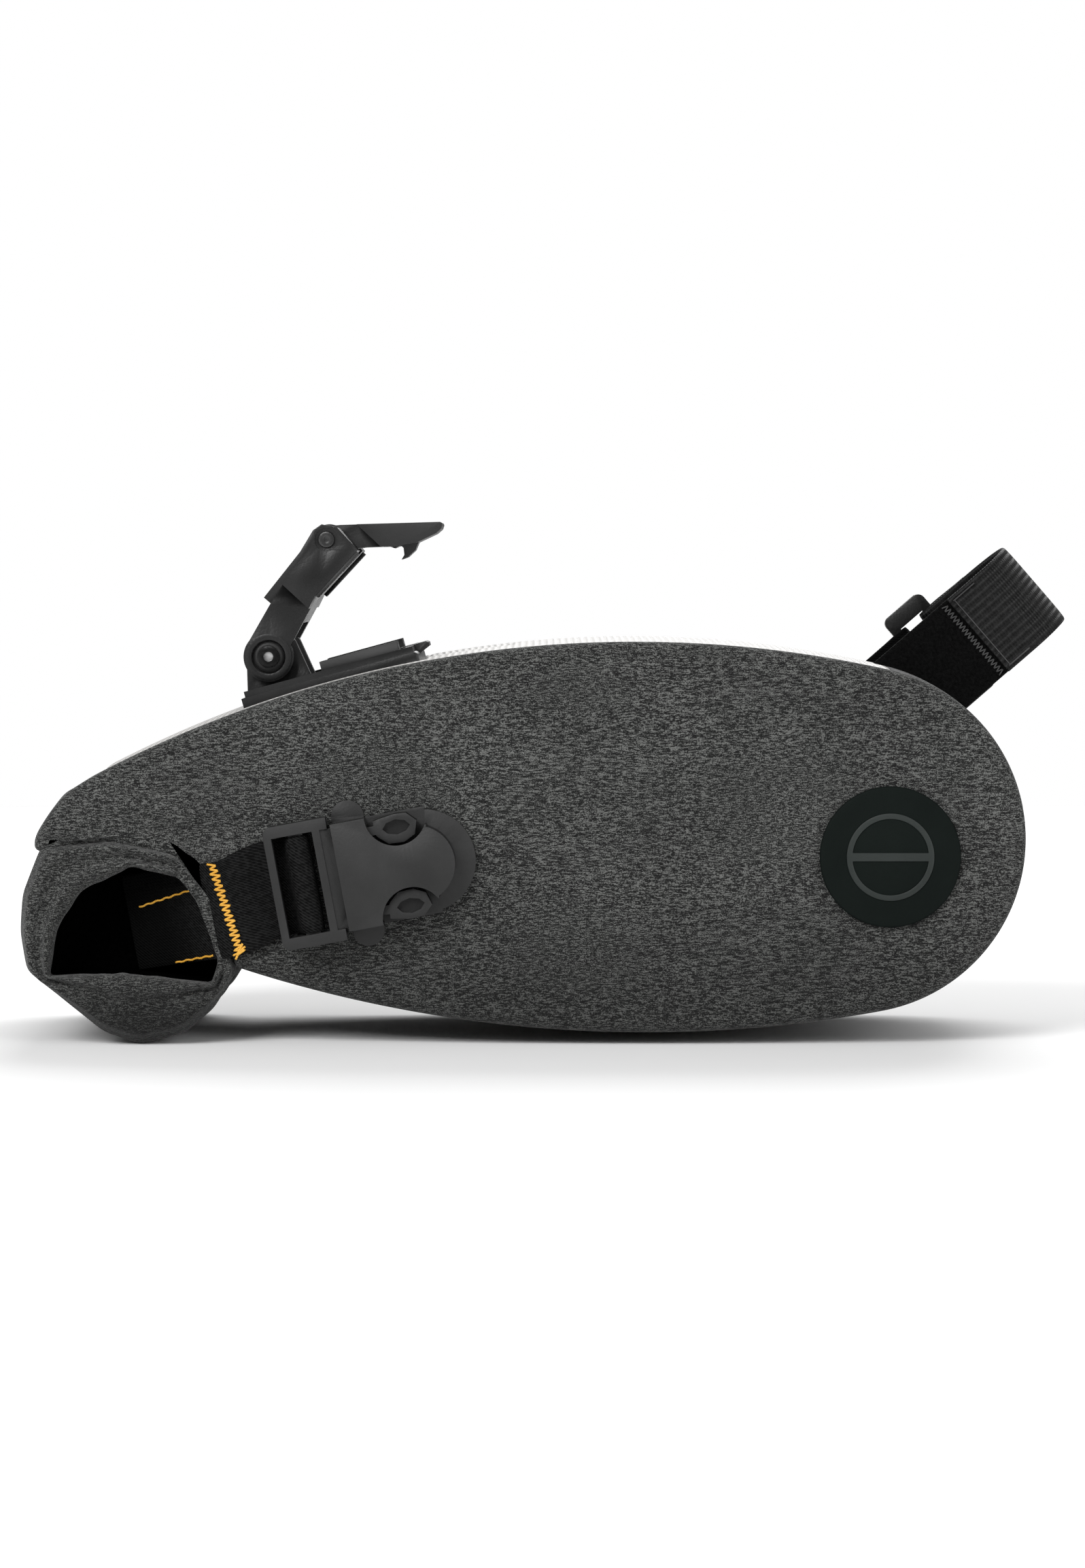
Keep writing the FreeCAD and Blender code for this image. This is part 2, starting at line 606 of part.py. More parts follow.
def make_clamp_fixings():
    """Screws, the backing plate inside the bag and the rubber cradles."""
    frame = clamp_frame()
    bottom = -sizes.pivot_height
    deck = underside(sizes.deck_height)
    plate = new_body("clamp_backing_plate")
    plate_top = bottom - sizes.backing_drop
    plate_bottom = plate_top - sizes.backing_wall
    half = sizes.base_half_width - 4
    margin = 5
    outline = box(-sizes.base_rear + margin, sizes.base_length - sizes.base_rear - margin, plate_bottom,
                  plate_top)
    slab(plate, "plate", outline, -half, half)
    for number, (x, side) in enumerate(screw_places()):
        hole = (x, side * sizes.screw_y, sizes.screw_radius + 0.05)
        slab(plate, f"thread_{number}", hole, plate_bottom - 1, plate_top + 1, plane="XY_Plane", cut=True)
    place(plate, frame)

    shank_top = deck - sizes.screw_head
    shapes = []
    for x, side in screw_places():
        centre = Vector(x.value, side * sizes.screw_y.value, 0)
        head = Part.makeCylinder(sizes.screw_head_radius.value, sizes.screw_head.value,
                                 centre + Vector(0, 0, shank_top.value))
        shank = Part.makeCylinder(sizes.screw_radius.value, shank_top.value - plate_bottom.value,
                                  centre + Vector(0, 0, plate_bottom.value))
        socket = hexagon(sizes.hex_radius.value, 0.9, centre + Vector(0, 0, deck.value - 0.9))
        shapes.append(head.fuse(shank).removeSplitter().cut(socket))
    add_feature("clamp_screws", Part.Compound(shapes)).Placement = frame

    wrap = math.cos(math.radians(sizes.rail_wrap.value))
    for name, side in (("rail_cradle_near", -1), ("rail_cradle_far", 1)):
        cradle = new_body(name)
        middle = side * sizes.rail_spacing / 2
        rail_z = underside(sizes.rail_height)
        top = rail_z - wrap * sizes.rail_radius
        width = sizes.cradle_half_width
        slab(cradle, "block", box(sizes.cradle_rear, sizes.cradle_front, deck, top), middle - width,
             middle + width)
        slab(cradle, "groove", (middle, rail_z, sizes.rail_radius), sizes.cradle_rear - 1,
             sizes.cradle_front + 1,
             plane="YZ_Plane", cut=True)
        place(cradle, frame)


def hexagon(radius, depth, base, axis=Vector(0, 0, 1)):
    """A hexagonal prism, for a socket."""
    turn = Rotation(Vector(0, 0, 1), axis)
    corners = [base + turn.multVec(Vector(radius * math.cos(math.pi / 3 * i),
                                          radius * math.sin(math.pi / 3 * i), 0))
               for i in range(7)]
    return Part.Face(Part.makePolygon(corners)).extrude(axis * depth)


def make_hinge():
    """Hinge screw, nut and washers, on the base's axis."""
    frame = clamp_frame()
    face = sizes.arm_outer.value + sizes.boss_wall.value - sizes.boss_recess.value
    gap = sizes.hinge_gap.value * 0.5
    washer = sizes.washer_wall.value
    head = sizes.pivot_head.value
    seat = face + gap + washer
    along = Vector(0, 1, 0)
    shank = Part.makeCylinder(sizes.pivot_radius.value, 2 * seat + head, Vector(0, -seat, 0), along)
    cap = Part.makeCylinder(sizes.pivot_head_radius.value, head, Vector(0, -seat - head, 0), along)
    socket = hexagon(sizes.hex_radius.value, 0.9, Vector(0, -seat - head, 0), along)
    add_feature("hinge_screw", shank.fuse(cap).removeSplitter().cut(socket)).Placement = frame
    nut = hexagon(sizes.pivot_head_radius.value, head, Vector(0, seat, 0), along)
    nut = nut.cut(Part.makeCylinder(sizes.pivot_radius.value, head, Vector(0, seat, 0), along))
    add_feature("hinge_nut", nut).Placement = frame
    rings = []
    for start in (-seat, seat - washer):
        disc = Part.makeCylinder(sizes.boss_recess_radius.value - 0.3, washer, Vector(0, start, 0), along)
        rings.append(disc.cut(Part.makeCylinder(sizes.pivot_radius.value, washer, Vector(0, start, 0),
                                                along)))
    add_feature("hinge_washers", Part.Compound(rings)).Placement = frame


def make_arm():
    """The clamp's arm, drawn closed: a fork on the hinge that widens into two wings."""
    outer = sizes.arm_outer
    wing = sizes.wing_half_width
    channel = sizes.latch_half_width + sizes.hinge_gap
    fork = sizes.ear_outer + sizes.hinge_gap
    eye = sizes.latch_eye_radius
    pin_x, pin_z = sizes.latch_x, sizes.latch_z
    flat = 1.5
    flat_start = 20.1
    flat_end = 36.6
    body = new_body("clamp_arm")
    stem = [(-1.6, 6.3), (10.2, 9), (25, 11.7), (25, flat), (flat_start, flat), (16.8, 0.5), (6.2, -2.2)]
    slab(body, "stem", stem, -outer, outer)
    head = [(16.8, 10.2), (pin_x - 0.6, pin_z + eye), (pin_x + eye * 0.5, pin_z + eye * 0.86),
            (pin_x + eye, pin_z),
            (flat_end + 0.4, 4), (flat_end, flat), (flat_start, flat), (16.8, 0.5)]
    slab(body, "head", head, -wing, wing)
    slab(body, "eye", (0, 0, sizes.arm_eye_radius), -outer, outer)
    mirrored_slabs(body, "boss", (0, 0, sizes.boss_radius), outer - 0.5, outer + sizes.boss_wall)
    slab(body, "fork", box(-10, 12.6, -10, 12), -fork, fork, cut=True)
    slab(body, "channel_top", [(12, 4.4), (26, 5), (29, 3.6), (29, -2), (50, -2), (50, 20), (12, 20)],
         -channel, channel, cut=True)
    mirrored_slabs(body, "boss_recess", (0, 0, sizes.boss_recess_radius),
                   outer + sizes.boss_wall - sizes.boss_recess, outer + 5, cut=True)
    slab(body, "hinge_bore", (0, 0, sizes.pivot_radius + sizes.pin_gap), -outer - 5, outer + 5, cut=True)
    slab(body, "pin_bore", (pin_x, pin_z, sizes.latch_pin_radius + 0.02), -wing - 1, wing + 1, cut=True)
    mirrored_slabs(body, "pin_recess", (pin_x, pin_z, sizes.latch_pin_radius + 1.6), wing - 0.6, wing + 1,
                   cut=True)
    place(body, clamp_frame(sizes.arm_open.value))

    grips = []
    for side in (-1, 1):
        span = 5.0
        middle = side * sizes.rail_spacing.value / 2
        grip = Part.makeBox(flat_end - flat_start - 1, 2 * span - 2.2, sizes.grip_wall.value,
                            Vector(flat_start + 0.5, middle - span + 1.1, flat - sizes.grip_wall.value))
        grips.append(grip)
    add_feature("arm_grips", Part.Compound(grips)).Placement = clamp_frame(sizes.arm_open.value)

    pin = new_body("latch_pin")
    slab(pin, "shaft", (pin_x, pin_z, sizes.latch_pin_radius), -wing - 0.1, wing + 0.1)
    mirrored_slabs(pin, "cap", (pin_x, pin_z, sizes.latch_pin_radius + 0.5), wing - 0.55, wing + 0.1)
    mirrored_slabs(pin, "dimple", (pin_x, pin_z, sizes.latch_pin_radius * 0.5), wing - 0.3, wing + 1,
                   cut=True)
    place(pin, clamp_frame(sizes.arm_open.value))


def make_latch():
    """The latch lever, drawn on the closed arm: thumb tab, eye, wide head and hook."""
    half = sizes.latch_half_width
    pin_x, pin_z = sizes.latch_x, sizes.latch_z
    eye = sizes.latch_eye_radius
    body = new_body("latch_lever")
    tab = [(10.3, 9.3), (10.2, 11.8), (pin_x + 0.7, pin_z + eye + 0.05), (pin_x, pin_z - 1), (27, 9.4)]
    slab(body, "tab", tab, -half, half)
    slab(body, "eye", (pin_x, pin_z, eye), -half, half)
    neck = [(pin_x + 1, pin_z + eye - 0.1), (38.1, 9.9), (44, 3.9), (44, -4.8), (38.1, 1.2),
            (pin_x - 1, pin_z - 3.5)]
    slab(body, "neck", neck, -half, half)
    head = [(41.2, 6.75), (57.2, -9.6), (55.4, -10.4), (53.6, -10.2), (48.4, -8.1), (44.3, -5.1),
            (41.2, -1.95)]
    wide = sizes.head_half_width
    slab(body, "head", head, -wide, wide)
    round_edges(body, "head_round", head[1:3], 0.7)
    hook_half = sizes.hook_half_width
    hook = [(44.9, -5.2), (44.9, -6.4), (43.7, -7.8), (42.3, -8.1), (43.9, -8.9), (46.6, -9.1), (49.6, -8),
            (47, -5)]
    slab(body, "hook", hook, -hook_half, hook_half)
    slab(body, "bump", [(42.6, -3.2), (43.2, -4.7), (44.6, -5.3), (44.6, -3)], -hook_half, hook_half)
    for number in range(4):
        start = 10.9 + 1.5 * number
        slab(body, f"grip_groove_{number}", box(start, start + 0.7, 11.45 + 0.1 * number, 15), -half + 1,
             half - 1, cut=True)
    room_half = sizes.spring_half_width + 0.6
    room_radius = sizes.spring_radius + sizes.spring_leaf + 0.9
    slab(body, "spring_notch", (pin_x, pin_z, room_radius), -room_half, room_half, cut=True)
    way = box(pin_x - sizes.spring_leg - 1, pin_x, pin_z - 5, pin_z + 1.2)
    slab(body, "spring_way", way, -room_half, room_half, cut=True)
    slab(body, "pin_bore", (pin_x, pin_z, sizes.latch_pin_radius + 0.06), -half - 1, half + 1, cut=True)
    place(body, clamp_frame(sizes.arm_open.value))


def make_latch_spring():
    """A rolled leaf spring: a ring round the pin with one leg that presses on the arm's channel."""
    pin_x, pin_z = sizes.latch_x, sizes.latch_z
    half = sizes.spring_half_width
    outside = sizes.spring_radius + sizes.spring_leaf
    body = new_body("latch_spring")
    slab(body, "roll", (pin_x, pin_z, outside), -half, half)
    leg = box(pin_x - sizes.spring_leg, pin_x, pin_z - outside, pin_z - sizes.spring_radius)
    slab(body, "leg", leg, -half, half)
    slab(body, "eye", (pin_x, pin_z, sizes.spring_radius), -half - 1, half + 1, cut=True)
    place(body, clamp_frame(sizes.arm_open.value))


# ---------------------------------------------------------------- the side-release buckles

def level(side, low, high):
    """A Y span measured outwards from the side panel's face."""
    face = sizes.bag_width / 2
    return side_span(side, face + low, face + high)


def make_buckle(side, suffix):
    frame = buckle_frame()
    half = sizes.socket_half_width
    wall = sizes.socket_wall
    base = sizes.socket_base
    top = sizes.socket_height
    nose_radius = sizes.socket_nose_radius
    body = new_body("buckle_socket_" + suffix)
    nose_x = 20
    low, high = level(side, as_size(0), base)
    slab(body, "flange", box(0, 24, -half, half), low, high)
    slab(body, "flange_nose", (21.8, 0, sizes.flange_nose_radius), low, high)
    for place_z, lug in ((half + 0.9, "upper_lug"), (-half - 0.9, "lower_lug")):
        slab(body, lug, (4.5, place_z, sizes.bump_radius), low, high)
    low, high = level(side, base - 0.2, top)
    slab(body, "housing", box(0, 24.2, -half, half), low, high)
    slab(body, "housing_nose", (nose_x, 0, nose_radius), low, high)
    for z, name in ((half - 0.4, "upper_notch"), (0.4 - half, "lower_notch")):
        low, high = level(side, base, top + 1)
        slab(body, name, (sizes.notch_x, z, sizes.notch_radius), low, high, cut=True)
    for z_low, z_high, name in ((9.6, 20, "upper_shoulder"), (-20, -9.6, "lower_shoulder")):
        slab(body, name, box(21.5, 26, z_low, z_high), low, high, cut=True)
    cavity = [(-1, -half + 0.6), (9.3, -half + 0.6), (24, -9), (24, 9), (9.3, half - 0.6), (-1, half - 0.6)]
    low, high = level(side, base + wall * 0.6, top - wall)
    slab(body, "cavity", cavity, low, high, cut=True)
    place(body, frame)

    make_plug(side, suffix, frame)
    make_buckle_webbing(side, suffix, frame)


def make_plug(side, suffix, frame):
    """The plug: ladder frame, cross bar and middle guide, and its two spring prongs."""
    base = sizes.socket_base + sizes.socket_wall * 0.6
    gap = sizes.buckle_gap
    plug_low = base + gap
    plug_high = sizes.socket_height - sizes.socket_wall - gap
    frame_low = as_size(2.0)
    frame_high = sizes.socket_height - 1.2
    half = sizes.frame_half_width
    rear = sizes.frame_rear
    bar = sizes.bar_wall
    body = new_body("buckle_plug_" + suffix)
    low, high = level(side, frame_low, frame_high)
    slab(body, "frame", box(rear, -0.9, -half, half), low, high)
    window_half = sizes.webbing_width / 2 + 0.5
    slab(body, "rear_window", box(rear + bar, -11.2, -window_half, window_half), low - 1, high + 1, cut=True)
    slab(body, "middle_window", box(-7.4, -4.9, -window_half, window_half), low - 1, high + 1, cut=True)
    round_edges(body, "frame_round", [(rear, half), (rear, -half)], 2.2)
    middle_low, middle_high = level(side, frame_high - 1.7, frame_high + 1)
    slab(body, "middle_bar_step", box(-11.2, -7.4, -window_half, window_half), middle_low, middle_high,
         cut=True)
    slab(body, "front_step", box(-2.9, 0, -window_half, window_half), middle_low, middle_high, cut=True)
    low, high = level(side, plug_low, plug_high)
    root_half = sizes.socket_half_width - 0.6 - gap
    slab(body, "root", box(-2.9, 1.2, -root_half, root_half), low, high)
    guide = sizes.guide_half_width
    slab(body, "guide", box(0, 20, -guide, guide), low, high)
    prong_gap = 0.2
    for z, name in ((sizes.prong_z, "upper_socket"), (-sizes.prong_z, "lower_socket")):
        socket_radius = sizes.prong_wall / 2 + prong_gap
        slab(body, name, (1.2, z, socket_radius), low - 1, high + 1, cut=True)
    place(body, frame)

    for sign, name in ((1, "prong_upper_"), (-1, "prong_lower_")):
        prong = new_body(name + suffix)
        z = sign * sizes.prong_z
        stem = sizes.prong_wall / 2
        slab(prong, "root", (1.2, z, stem), low, high)
        slab(prong, "stem", box(1.2, 12, z - stem, z + stem), low, high)
        pad = [(10.9, sign * 9.4), (10.9, sign * 12.7), (12.4, sign * 13), (16.5, sign * 13.6),
               (19.6, sign * 13.4),
               (22, sign * 11), (21, sign * 7.6), (18, sign * 6.1), (14, sign * 6.3), (11.6, sign * 8.4)]
        slab(prong, "pad", pad, low, high)
        dish_low, dish_high = level(side, plug_high - 1.4, plug_high + 1)
        dish = [(13, sign * 10.2), (14.2, sign * 8.9), (16.6, sign * 8.3), (19, sign * 8.9),
                (20.2, sign * 10.2),
                (19, sign * 11.6), (16.6, sign * 12.2), (14.2, sign * 11.6)]
        slab(prong, "dish", dish, dish_low, dish_high, cut=True)
        place(prong, frame)


def make_buckle_webbing(side, suffix, frame):
    """The flat run from the roll to the plug, and the turn over the plug's middle bar."""
    half = sizes.webbing_width / 2
    wall = sizes.webbing_wall
    gap = sizes.seam_gap
    run = new_body("buckle_webbing_" + suffix)
    low, high = level(side, gap, gap + wall)
    slab(run, "run", box(-31, -2, -half, half), low, high)
    place(run, frame)
    turn = new_body("webbing_turn_" + suffix)
    frame_high = sizes.socket_height - 1.2
    bar_top = frame_high - 1.7
    low, high = level(side, bar_top + 0.1, bar_top + 0.1 + wall)
    slab(turn, "over_bar", box(-12.4, -6.2, -half, half), low, high)
    low, high = level(side, as_size(2.1), bar_top + wall)
    slab(turn, "rear_fall", box(-12.4, -11.3, -half, half), low, high)
    slab(turn, "front_fall", box(-7.3, -6.2, -half, half), low, high)
    place(turn, frame)


# ---------------------------------------------------------------- the seatpost strap

def make_seatpost_strap():
    """Fuzzy tape, ribbed band, ring and tab.  The band goes out, round and back through the ring."""
    frame = strap_frame()
    half = sizes.webbing_width / 2
    inner = sizes.strap_half_gap
    envelope = doc.addObject("Part::Feature", "pouch_envelope")
    envelope.Shape = side_prism(0, sizes.bag_width.value / 2, sizes.collar_x.value)
    root = -14

    tape = new_body("tape_blank")
    slab(tape, "tape", [(root, -inner - sizes.tape_wall), (sizes.tape_length, -inner - sizes.tape_wall),
                        (sizes.tape_length, -inner), (root, -inner)], -half, half, plane="XY_Plane")
    del nodes["tape_blank"]
    minus("strap_tape", place(tape, frame), envelope)

    reach = sizes.strap_reach
    wall = sizes.band_wall
    out = inner + sizes.tape_wall + 0.05
    ring_front = sizes.ring_rear + sizes.ring_length
    bar_rear = ring_front - sizes.ring_bar
    ring_low = inner - sizes.ring_wall / 2
    ring_high = inner + sizes.ring_wall / 2
    gap = as_size(0.25)
    fold = bar_rear - gap - wall
    inner_far = ring_low - gap - wall
    outer_far = ring_high + gap
    outline = [
        (sizes.band_start, -out - wall), (reach, -out - wall), (reach, inner_far + 2 * wall + 0.1),
        (reach - sizes.bend_radius - wall - 0.5, inner_far + 2 * wall + 0.1),
        (ring_front + 3, outer_far + wall), (fold, outer_far + wall),
        (fold, inner_far), (reach - wall, inner_far), (reach - wall, -out), (sizes.band_start, -out)]
    band = new_body("strap_band")
    slab(band, "band", outline, -half, half, plane="XY_Plane")
    window = [(bar_rear - gap, outer_far), (bar_rear - gap, inner_far + wall),
              (ring_front + gap, inner_far + wall),
              (ring_front + 2.5, outer_far)]
    slab(band, "ring_room", window, -half - 1, half + 1, plane="XY_Plane", cut=True)
    round_edges(band, "tip_inside", [outline[7], outline[8]], sizes.bend_radius, axis="z")
    round_edges(band, "tip_outside", [outline[1], outline[2]], sizes.bend_radius + wall, axis="z")
    place(band, frame)

    ring = new_body("strap_ring")
    ring_half = half + sizes.ring_margin
    ring_top = sizes.ring_rise + ring_half
    ring_bottom = -ring_half
    slab(ring, "ring_outside", box(sizes.ring_rear, ring_front, ring_bottom, ring_top), ring_low, ring_high)
    slab(ring, "ring_window", box(sizes.ring_rear + sizes.ring_bar, bar_rear, -half - 0.4, half + 0.4),
         ring_low - 1, ring_high + 1, cut=True)
    round_edges(ring, "ring_round", box(sizes.ring_rear, ring_front, ring_bottom, ring_top), 2)
    place(ring, frame)

    tab = new_body("tab_blank")
    bar_front = sizes.ring_rear + sizes.ring_bar
    outline = [(root, inner - wall), (sizes.ring_rear - 2.4, inner - wall),
               (sizes.ring_rear - gap, inner_far),
               (bar_front + gap + wall, inner_far), (bar_front + gap + wall, outer_far + wall),
               (sizes.ring_rear - gap, outer_far + wall), (sizes.ring_rear - 2.4, inner + wall),
               (root, inner + wall)]
    slab(tab, "tab", outline, -half, half, plane="XY_Plane")
    room = [(sizes.ring_rear - gap, ring_low - gap), (bar_front + gap, ring_low - gap),
            (bar_front + gap, ring_high + gap), (sizes.ring_rear - gap, ring_high + gap)]
    slab(tab, "bar_room", room, -half - 1, half + 1, plane="XY_Plane", cut=True)
    del nodes["tab_blank"]
    minus("ring_tab", place(tab, frame), envelope)


# ---------------------------------------------------------------- build, test and write

def write_parts():
    doc.recompute()
    faults = [item.Name for item in doc.Objects if {"Invalid", "Error"} & set(item.State)]
    for name, item in nodes.items():
        if item.Shape.isNull() or not item.Shape.isValid() or not item.Shape.Solids:
            faults.append(name)
    if faults:
        raise ValueError(f"faulty objects: {faults}")
    os.makedirs("parts", exist_ok=True)
    for name, item in nodes.items():
        item.Shape.exportStep(f"parts/{name}.step")
    print(len(nodes), "sub-parts written")


make_pouch()
make_rear_end()
make_badge()
make_clamp_base()
make_clamp_fixings()
make_hinge()
make_arm()
make_latch()
make_latch_spring()
for which, label in ((-1, "near"), (1, "far")):
    make_buckle(which, label)
make_seatpost_strap()
write_parts()
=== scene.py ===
# %% [markdown]
# # A bicycle saddle bag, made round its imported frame
# The bag is a stiff-sided pouch in melange fabric.  It has a rolled mouth at the rear, a plastic
# clamp for the saddle rails on its back, a buckle on each side and a strap for the seatpost on its
# nose.  The hard parts keep their own shapes and only gain a finish.  The fabric is made here, as
# surfaces worked out with arrays, because cloth needs rounded edges, folds and thread.

# %% Load the frame
import math
import bmesh
import bpy
import numpy as np
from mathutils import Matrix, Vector


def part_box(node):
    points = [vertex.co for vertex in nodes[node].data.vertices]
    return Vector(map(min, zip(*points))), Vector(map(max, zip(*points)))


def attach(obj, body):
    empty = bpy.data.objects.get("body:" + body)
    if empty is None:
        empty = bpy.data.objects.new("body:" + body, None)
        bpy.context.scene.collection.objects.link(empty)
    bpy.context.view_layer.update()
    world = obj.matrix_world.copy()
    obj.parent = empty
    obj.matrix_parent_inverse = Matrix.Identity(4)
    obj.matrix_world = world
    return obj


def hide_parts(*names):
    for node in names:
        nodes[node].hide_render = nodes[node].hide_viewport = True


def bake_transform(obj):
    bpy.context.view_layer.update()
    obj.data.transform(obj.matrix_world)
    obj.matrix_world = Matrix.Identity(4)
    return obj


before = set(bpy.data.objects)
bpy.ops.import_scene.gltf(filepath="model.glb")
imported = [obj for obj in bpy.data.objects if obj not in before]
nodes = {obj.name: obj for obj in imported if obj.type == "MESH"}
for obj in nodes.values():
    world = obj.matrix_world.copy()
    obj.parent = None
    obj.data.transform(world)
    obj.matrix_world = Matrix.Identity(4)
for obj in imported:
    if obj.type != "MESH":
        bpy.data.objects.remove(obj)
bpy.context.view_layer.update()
MM = 0.001

# %% [markdown]
# ## Camera, floor and light
# The object is seen square on from its near side and a little from above.  A long lens keeps the
# two sides of the bag nearly the same size.  Large lamps give the soft light of a studio.  Small
# lamps would be quicker to render, but their hard shadows would hide the black pieces.  The sky is
# white where it is looked at and dimmer where it only lights, so that black plastic stays black.

# %% Camera
TILT_DOWN = math.radians(2.8)
SEEN_HEIGHT = 0.4036
LENS = 100
SENSOR = 36
NEAR_FACE = -0.042
look_at = np.array([-0.0004, NEAR_FACE, 0.0676])
distance = SEEN_HEIGHT / 2 * LENS / (SENSOR / 2)
camera_data = bpy.data.cameras.new("camera")
camera_data.lens = LENS
camera_data.sensor_width = SENSOR
camera_data.clip_start = 0.01
camera_data.clip_end = 20
camera = bpy.data.objects.new("camera", camera_data)
bpy.context.scene.collection.objects.link(camera)
camera.location = look_at + distance * np.array([0, -math.cos(TILT_DOWN), math.sin(TILT_DOWN)])
camera.rotation_euler = (math.pi / 2 - TILT_DOWN, 0, 0)
bpy.context.scene.camera = camera
bpy.context.scene.view_settings.view_transform = "Standard"
print("camera", round(distance, 3), "m from the near side")

# %% Lamps and sky
def softbox(name, place, target, size, watts):
    """A square lamp at place that faces target."""
    data = bpy.data.lights.new(name, "AREA")
    data.size = size
    data.energy = watts
    lamp = bpy.data.objects.new(name, data)
    bpy.context.scene.collection.objects.link(lamp)
    lamp.location = place
    direction = Vector(np.subtract(target, place))
    lamp.rotation_euler = direction.to_track_quat("-Z", "Y").to_euler()


MIDDLE = (0, 0, 0.06)
softbox("key_lamp", (-0.6, -1.0, 0.85), MIDDLE, 0.7, 17)
softbox("fill_lamp", (0.9, -0.9, 0.5), MIDDLE, 0.7, 6)
softbox("back_lamp", (0.2, 0.9, 0.9), MIDDLE, 0.9, 15)
SKY_LIGHT = 0.28
world = bpy.data.worlds.new("sky")
bpy.context.scene.world = world
world.use_nodes = True
sky = world.node_tree
seen = sky.nodes.new("ShaderNodeLightPath")
level = sky.nodes.new("ShaderNodeMapRange")
level.inputs["To Min"].default_value = SKY_LIGHT
level.inputs["To Max"].default_value = 1.0
sky.links.new(seen.outputs["Is Camera Ray"], level.inputs["Value"])
sky.links.new(level.outputs[0], sky.nodes["Background"].inputs["Strength"])
sky.nodes["Background"].inputs["Color"].default_value = (1, 1, 1, 1)
print("three soft lamps and a white sky")

# %% [markdown]
# ## A skin through rings
# Nearly every soft piece here is a skin: closed rings of points, one after the other, joined by
# squares.  A panel is a set of rings that shrink towards its middle.  A strap is one small ring
# carried along a path.  The ends are closed with a fan, so each piece is a whole solid.  Blender's
# own curves and lofts could make some of these, but with arrays every point follows a formula that
# can be read, and the rings give the UV map at the same time.

# %% Smooth step
def smooth_step(x):
    """0 up to x = 0, 1 from x = 1 and 3x^2 - 2x^3 between them."""
    x = np.clip(x, 0, 1)
    return x * x * (3 - 2 * x)


# %% Skin
def skin(name, rings, lengths=None, widths=None):
    """A solid through closed rings, an array (rings, points, 3) in millimetres.

    Point j of ring i is joined to point j + 1 and to point j of ring i + 1.  A fan from the mean of
    the first ring, and one from the mean of the last, close the ends.  lengths (one for each ring)
    and widths (one for each point, and one more) give the UV map, in metres.
    """
    count, around, _ = rings.shape
    points = np.concatenate([rings.reshape(-1, 3), rings[0].mean(0)[None], rings[-1].mean(0)[None]])
    i, j = (grid.ravel() for grid in np.meshgrid(np.arange(count - 1), np.arange(around), indexing="ij"))
    k = (j + 1) % around
    squares = np.stack([i * around + j, i * around + k, (i + 1) * around + k, (i + 1) * around + j], -1)
    a = np.arange(around)
    b = (a + 1) % around
    first = np.stack([b, a, np.full(around, count * around)], -1)
    last = np.stack([a, b, np.full(around, count * around + 1)], -1)
    last[:, :2] += (count - 1) * around
    mesh = bpy.data.meshes.new(name)
    mesh.from_pydata(points * MM, [], squares.tolist() + first.tolist() + last.tolist())
    if lengths is not None:
        u = np.stack([lengths[i], lengths[i], lengths[i + 1], lengths[i + 1]], -1)
        v = np.stack([widths[j], widths[j + 1], widths[j + 1], widths[j]], -1)
        flat = np.zeros((len(mesh.loops), 2), np.float32)
        flat[:u.size] = np.stack([u.ravel(), v.ravel()], -1)
        mesh.uv_layers.new(name="UVMap").data.foreach_set("uv", flat.ravel())
    tidy = bmesh.new()
    tidy.from_mesh(mesh)
    bmesh.ops.recalc_face_normals(tidy, faces=tidy.faces)
    tidy.to_mesh(mesh)
    tidy.free()
    mesh.polygons.foreach_set("use_smooth", np.ones(len(mesh.polygons), bool))
    piece = bpy.data.objects.new(name, mesh)
    bpy.context.scene.collection.objects.link(piece)
    return piece


def settle(piece, body, stands_for=()):
    """Puts a finished piece on its body and hides the frame nodes it stands for."""
    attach(piece, body)
    if stands_for:
        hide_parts(*stands_for)
    print(piece.name, len(piece.data.polygons), "faces")


# %% [markdown]
# ## Node helpers and shared effects
# Each finish is a small tree of shader nodes.  The patterns that several finishes share are node
# groups, built once: melange, woven threads and fine grain.  They give out values only, and each
# material feeds them to its own shader.  The same nodes could be repeated in every material, but
# then a change of the weave would have to be made in many places.

# %% Node helpers
def add_node(tree, kind, **settings):
    """A node of that kind, with its properties set by name."""
    node = tree.nodes.new(kind)
    for key, value in settings.items():
        setattr(node, key, value)
    return node


def math_node(tree, operation, first, second=None):
    """A Math node whose inputs are sockets or numbers."""
    node = add_node(tree, "ShaderNodeMath", operation=operation)
    for index, value in enumerate((first, second)):
        if value is None:
            continue
        if isinstance(value, (int, float)):
            node.inputs[index].default_value = value
        else:
            tree.links.new(value, node.inputs[index])
    return node.outputs[0]


def stretched(tree, vector, scale):
    """The vector with each of its axes multiplied by scale."""
    mapping = add_node(tree, "ShaderNodeMapping")
    mapping.inputs["Scale"].default_value = scale
    tree.links.new(vector, mapping.inputs["Vector"])
    return mapping.outputs["Vector"]


def noise(tree, vector, scale, detail=2.0, roughness=0.5):
    """The value of a Noise texture over vector."""
    node = add_node(tree, "ShaderNodeTexNoise")
    node.inputs["Scale"].default_value = scale
    node.inputs["Detail"].default_value = detail
    node.inputs["Roughness"].default_value = roughness
    tree.links.new(vector, node.inputs["Vector"])
    return node.outputs["Fac"]


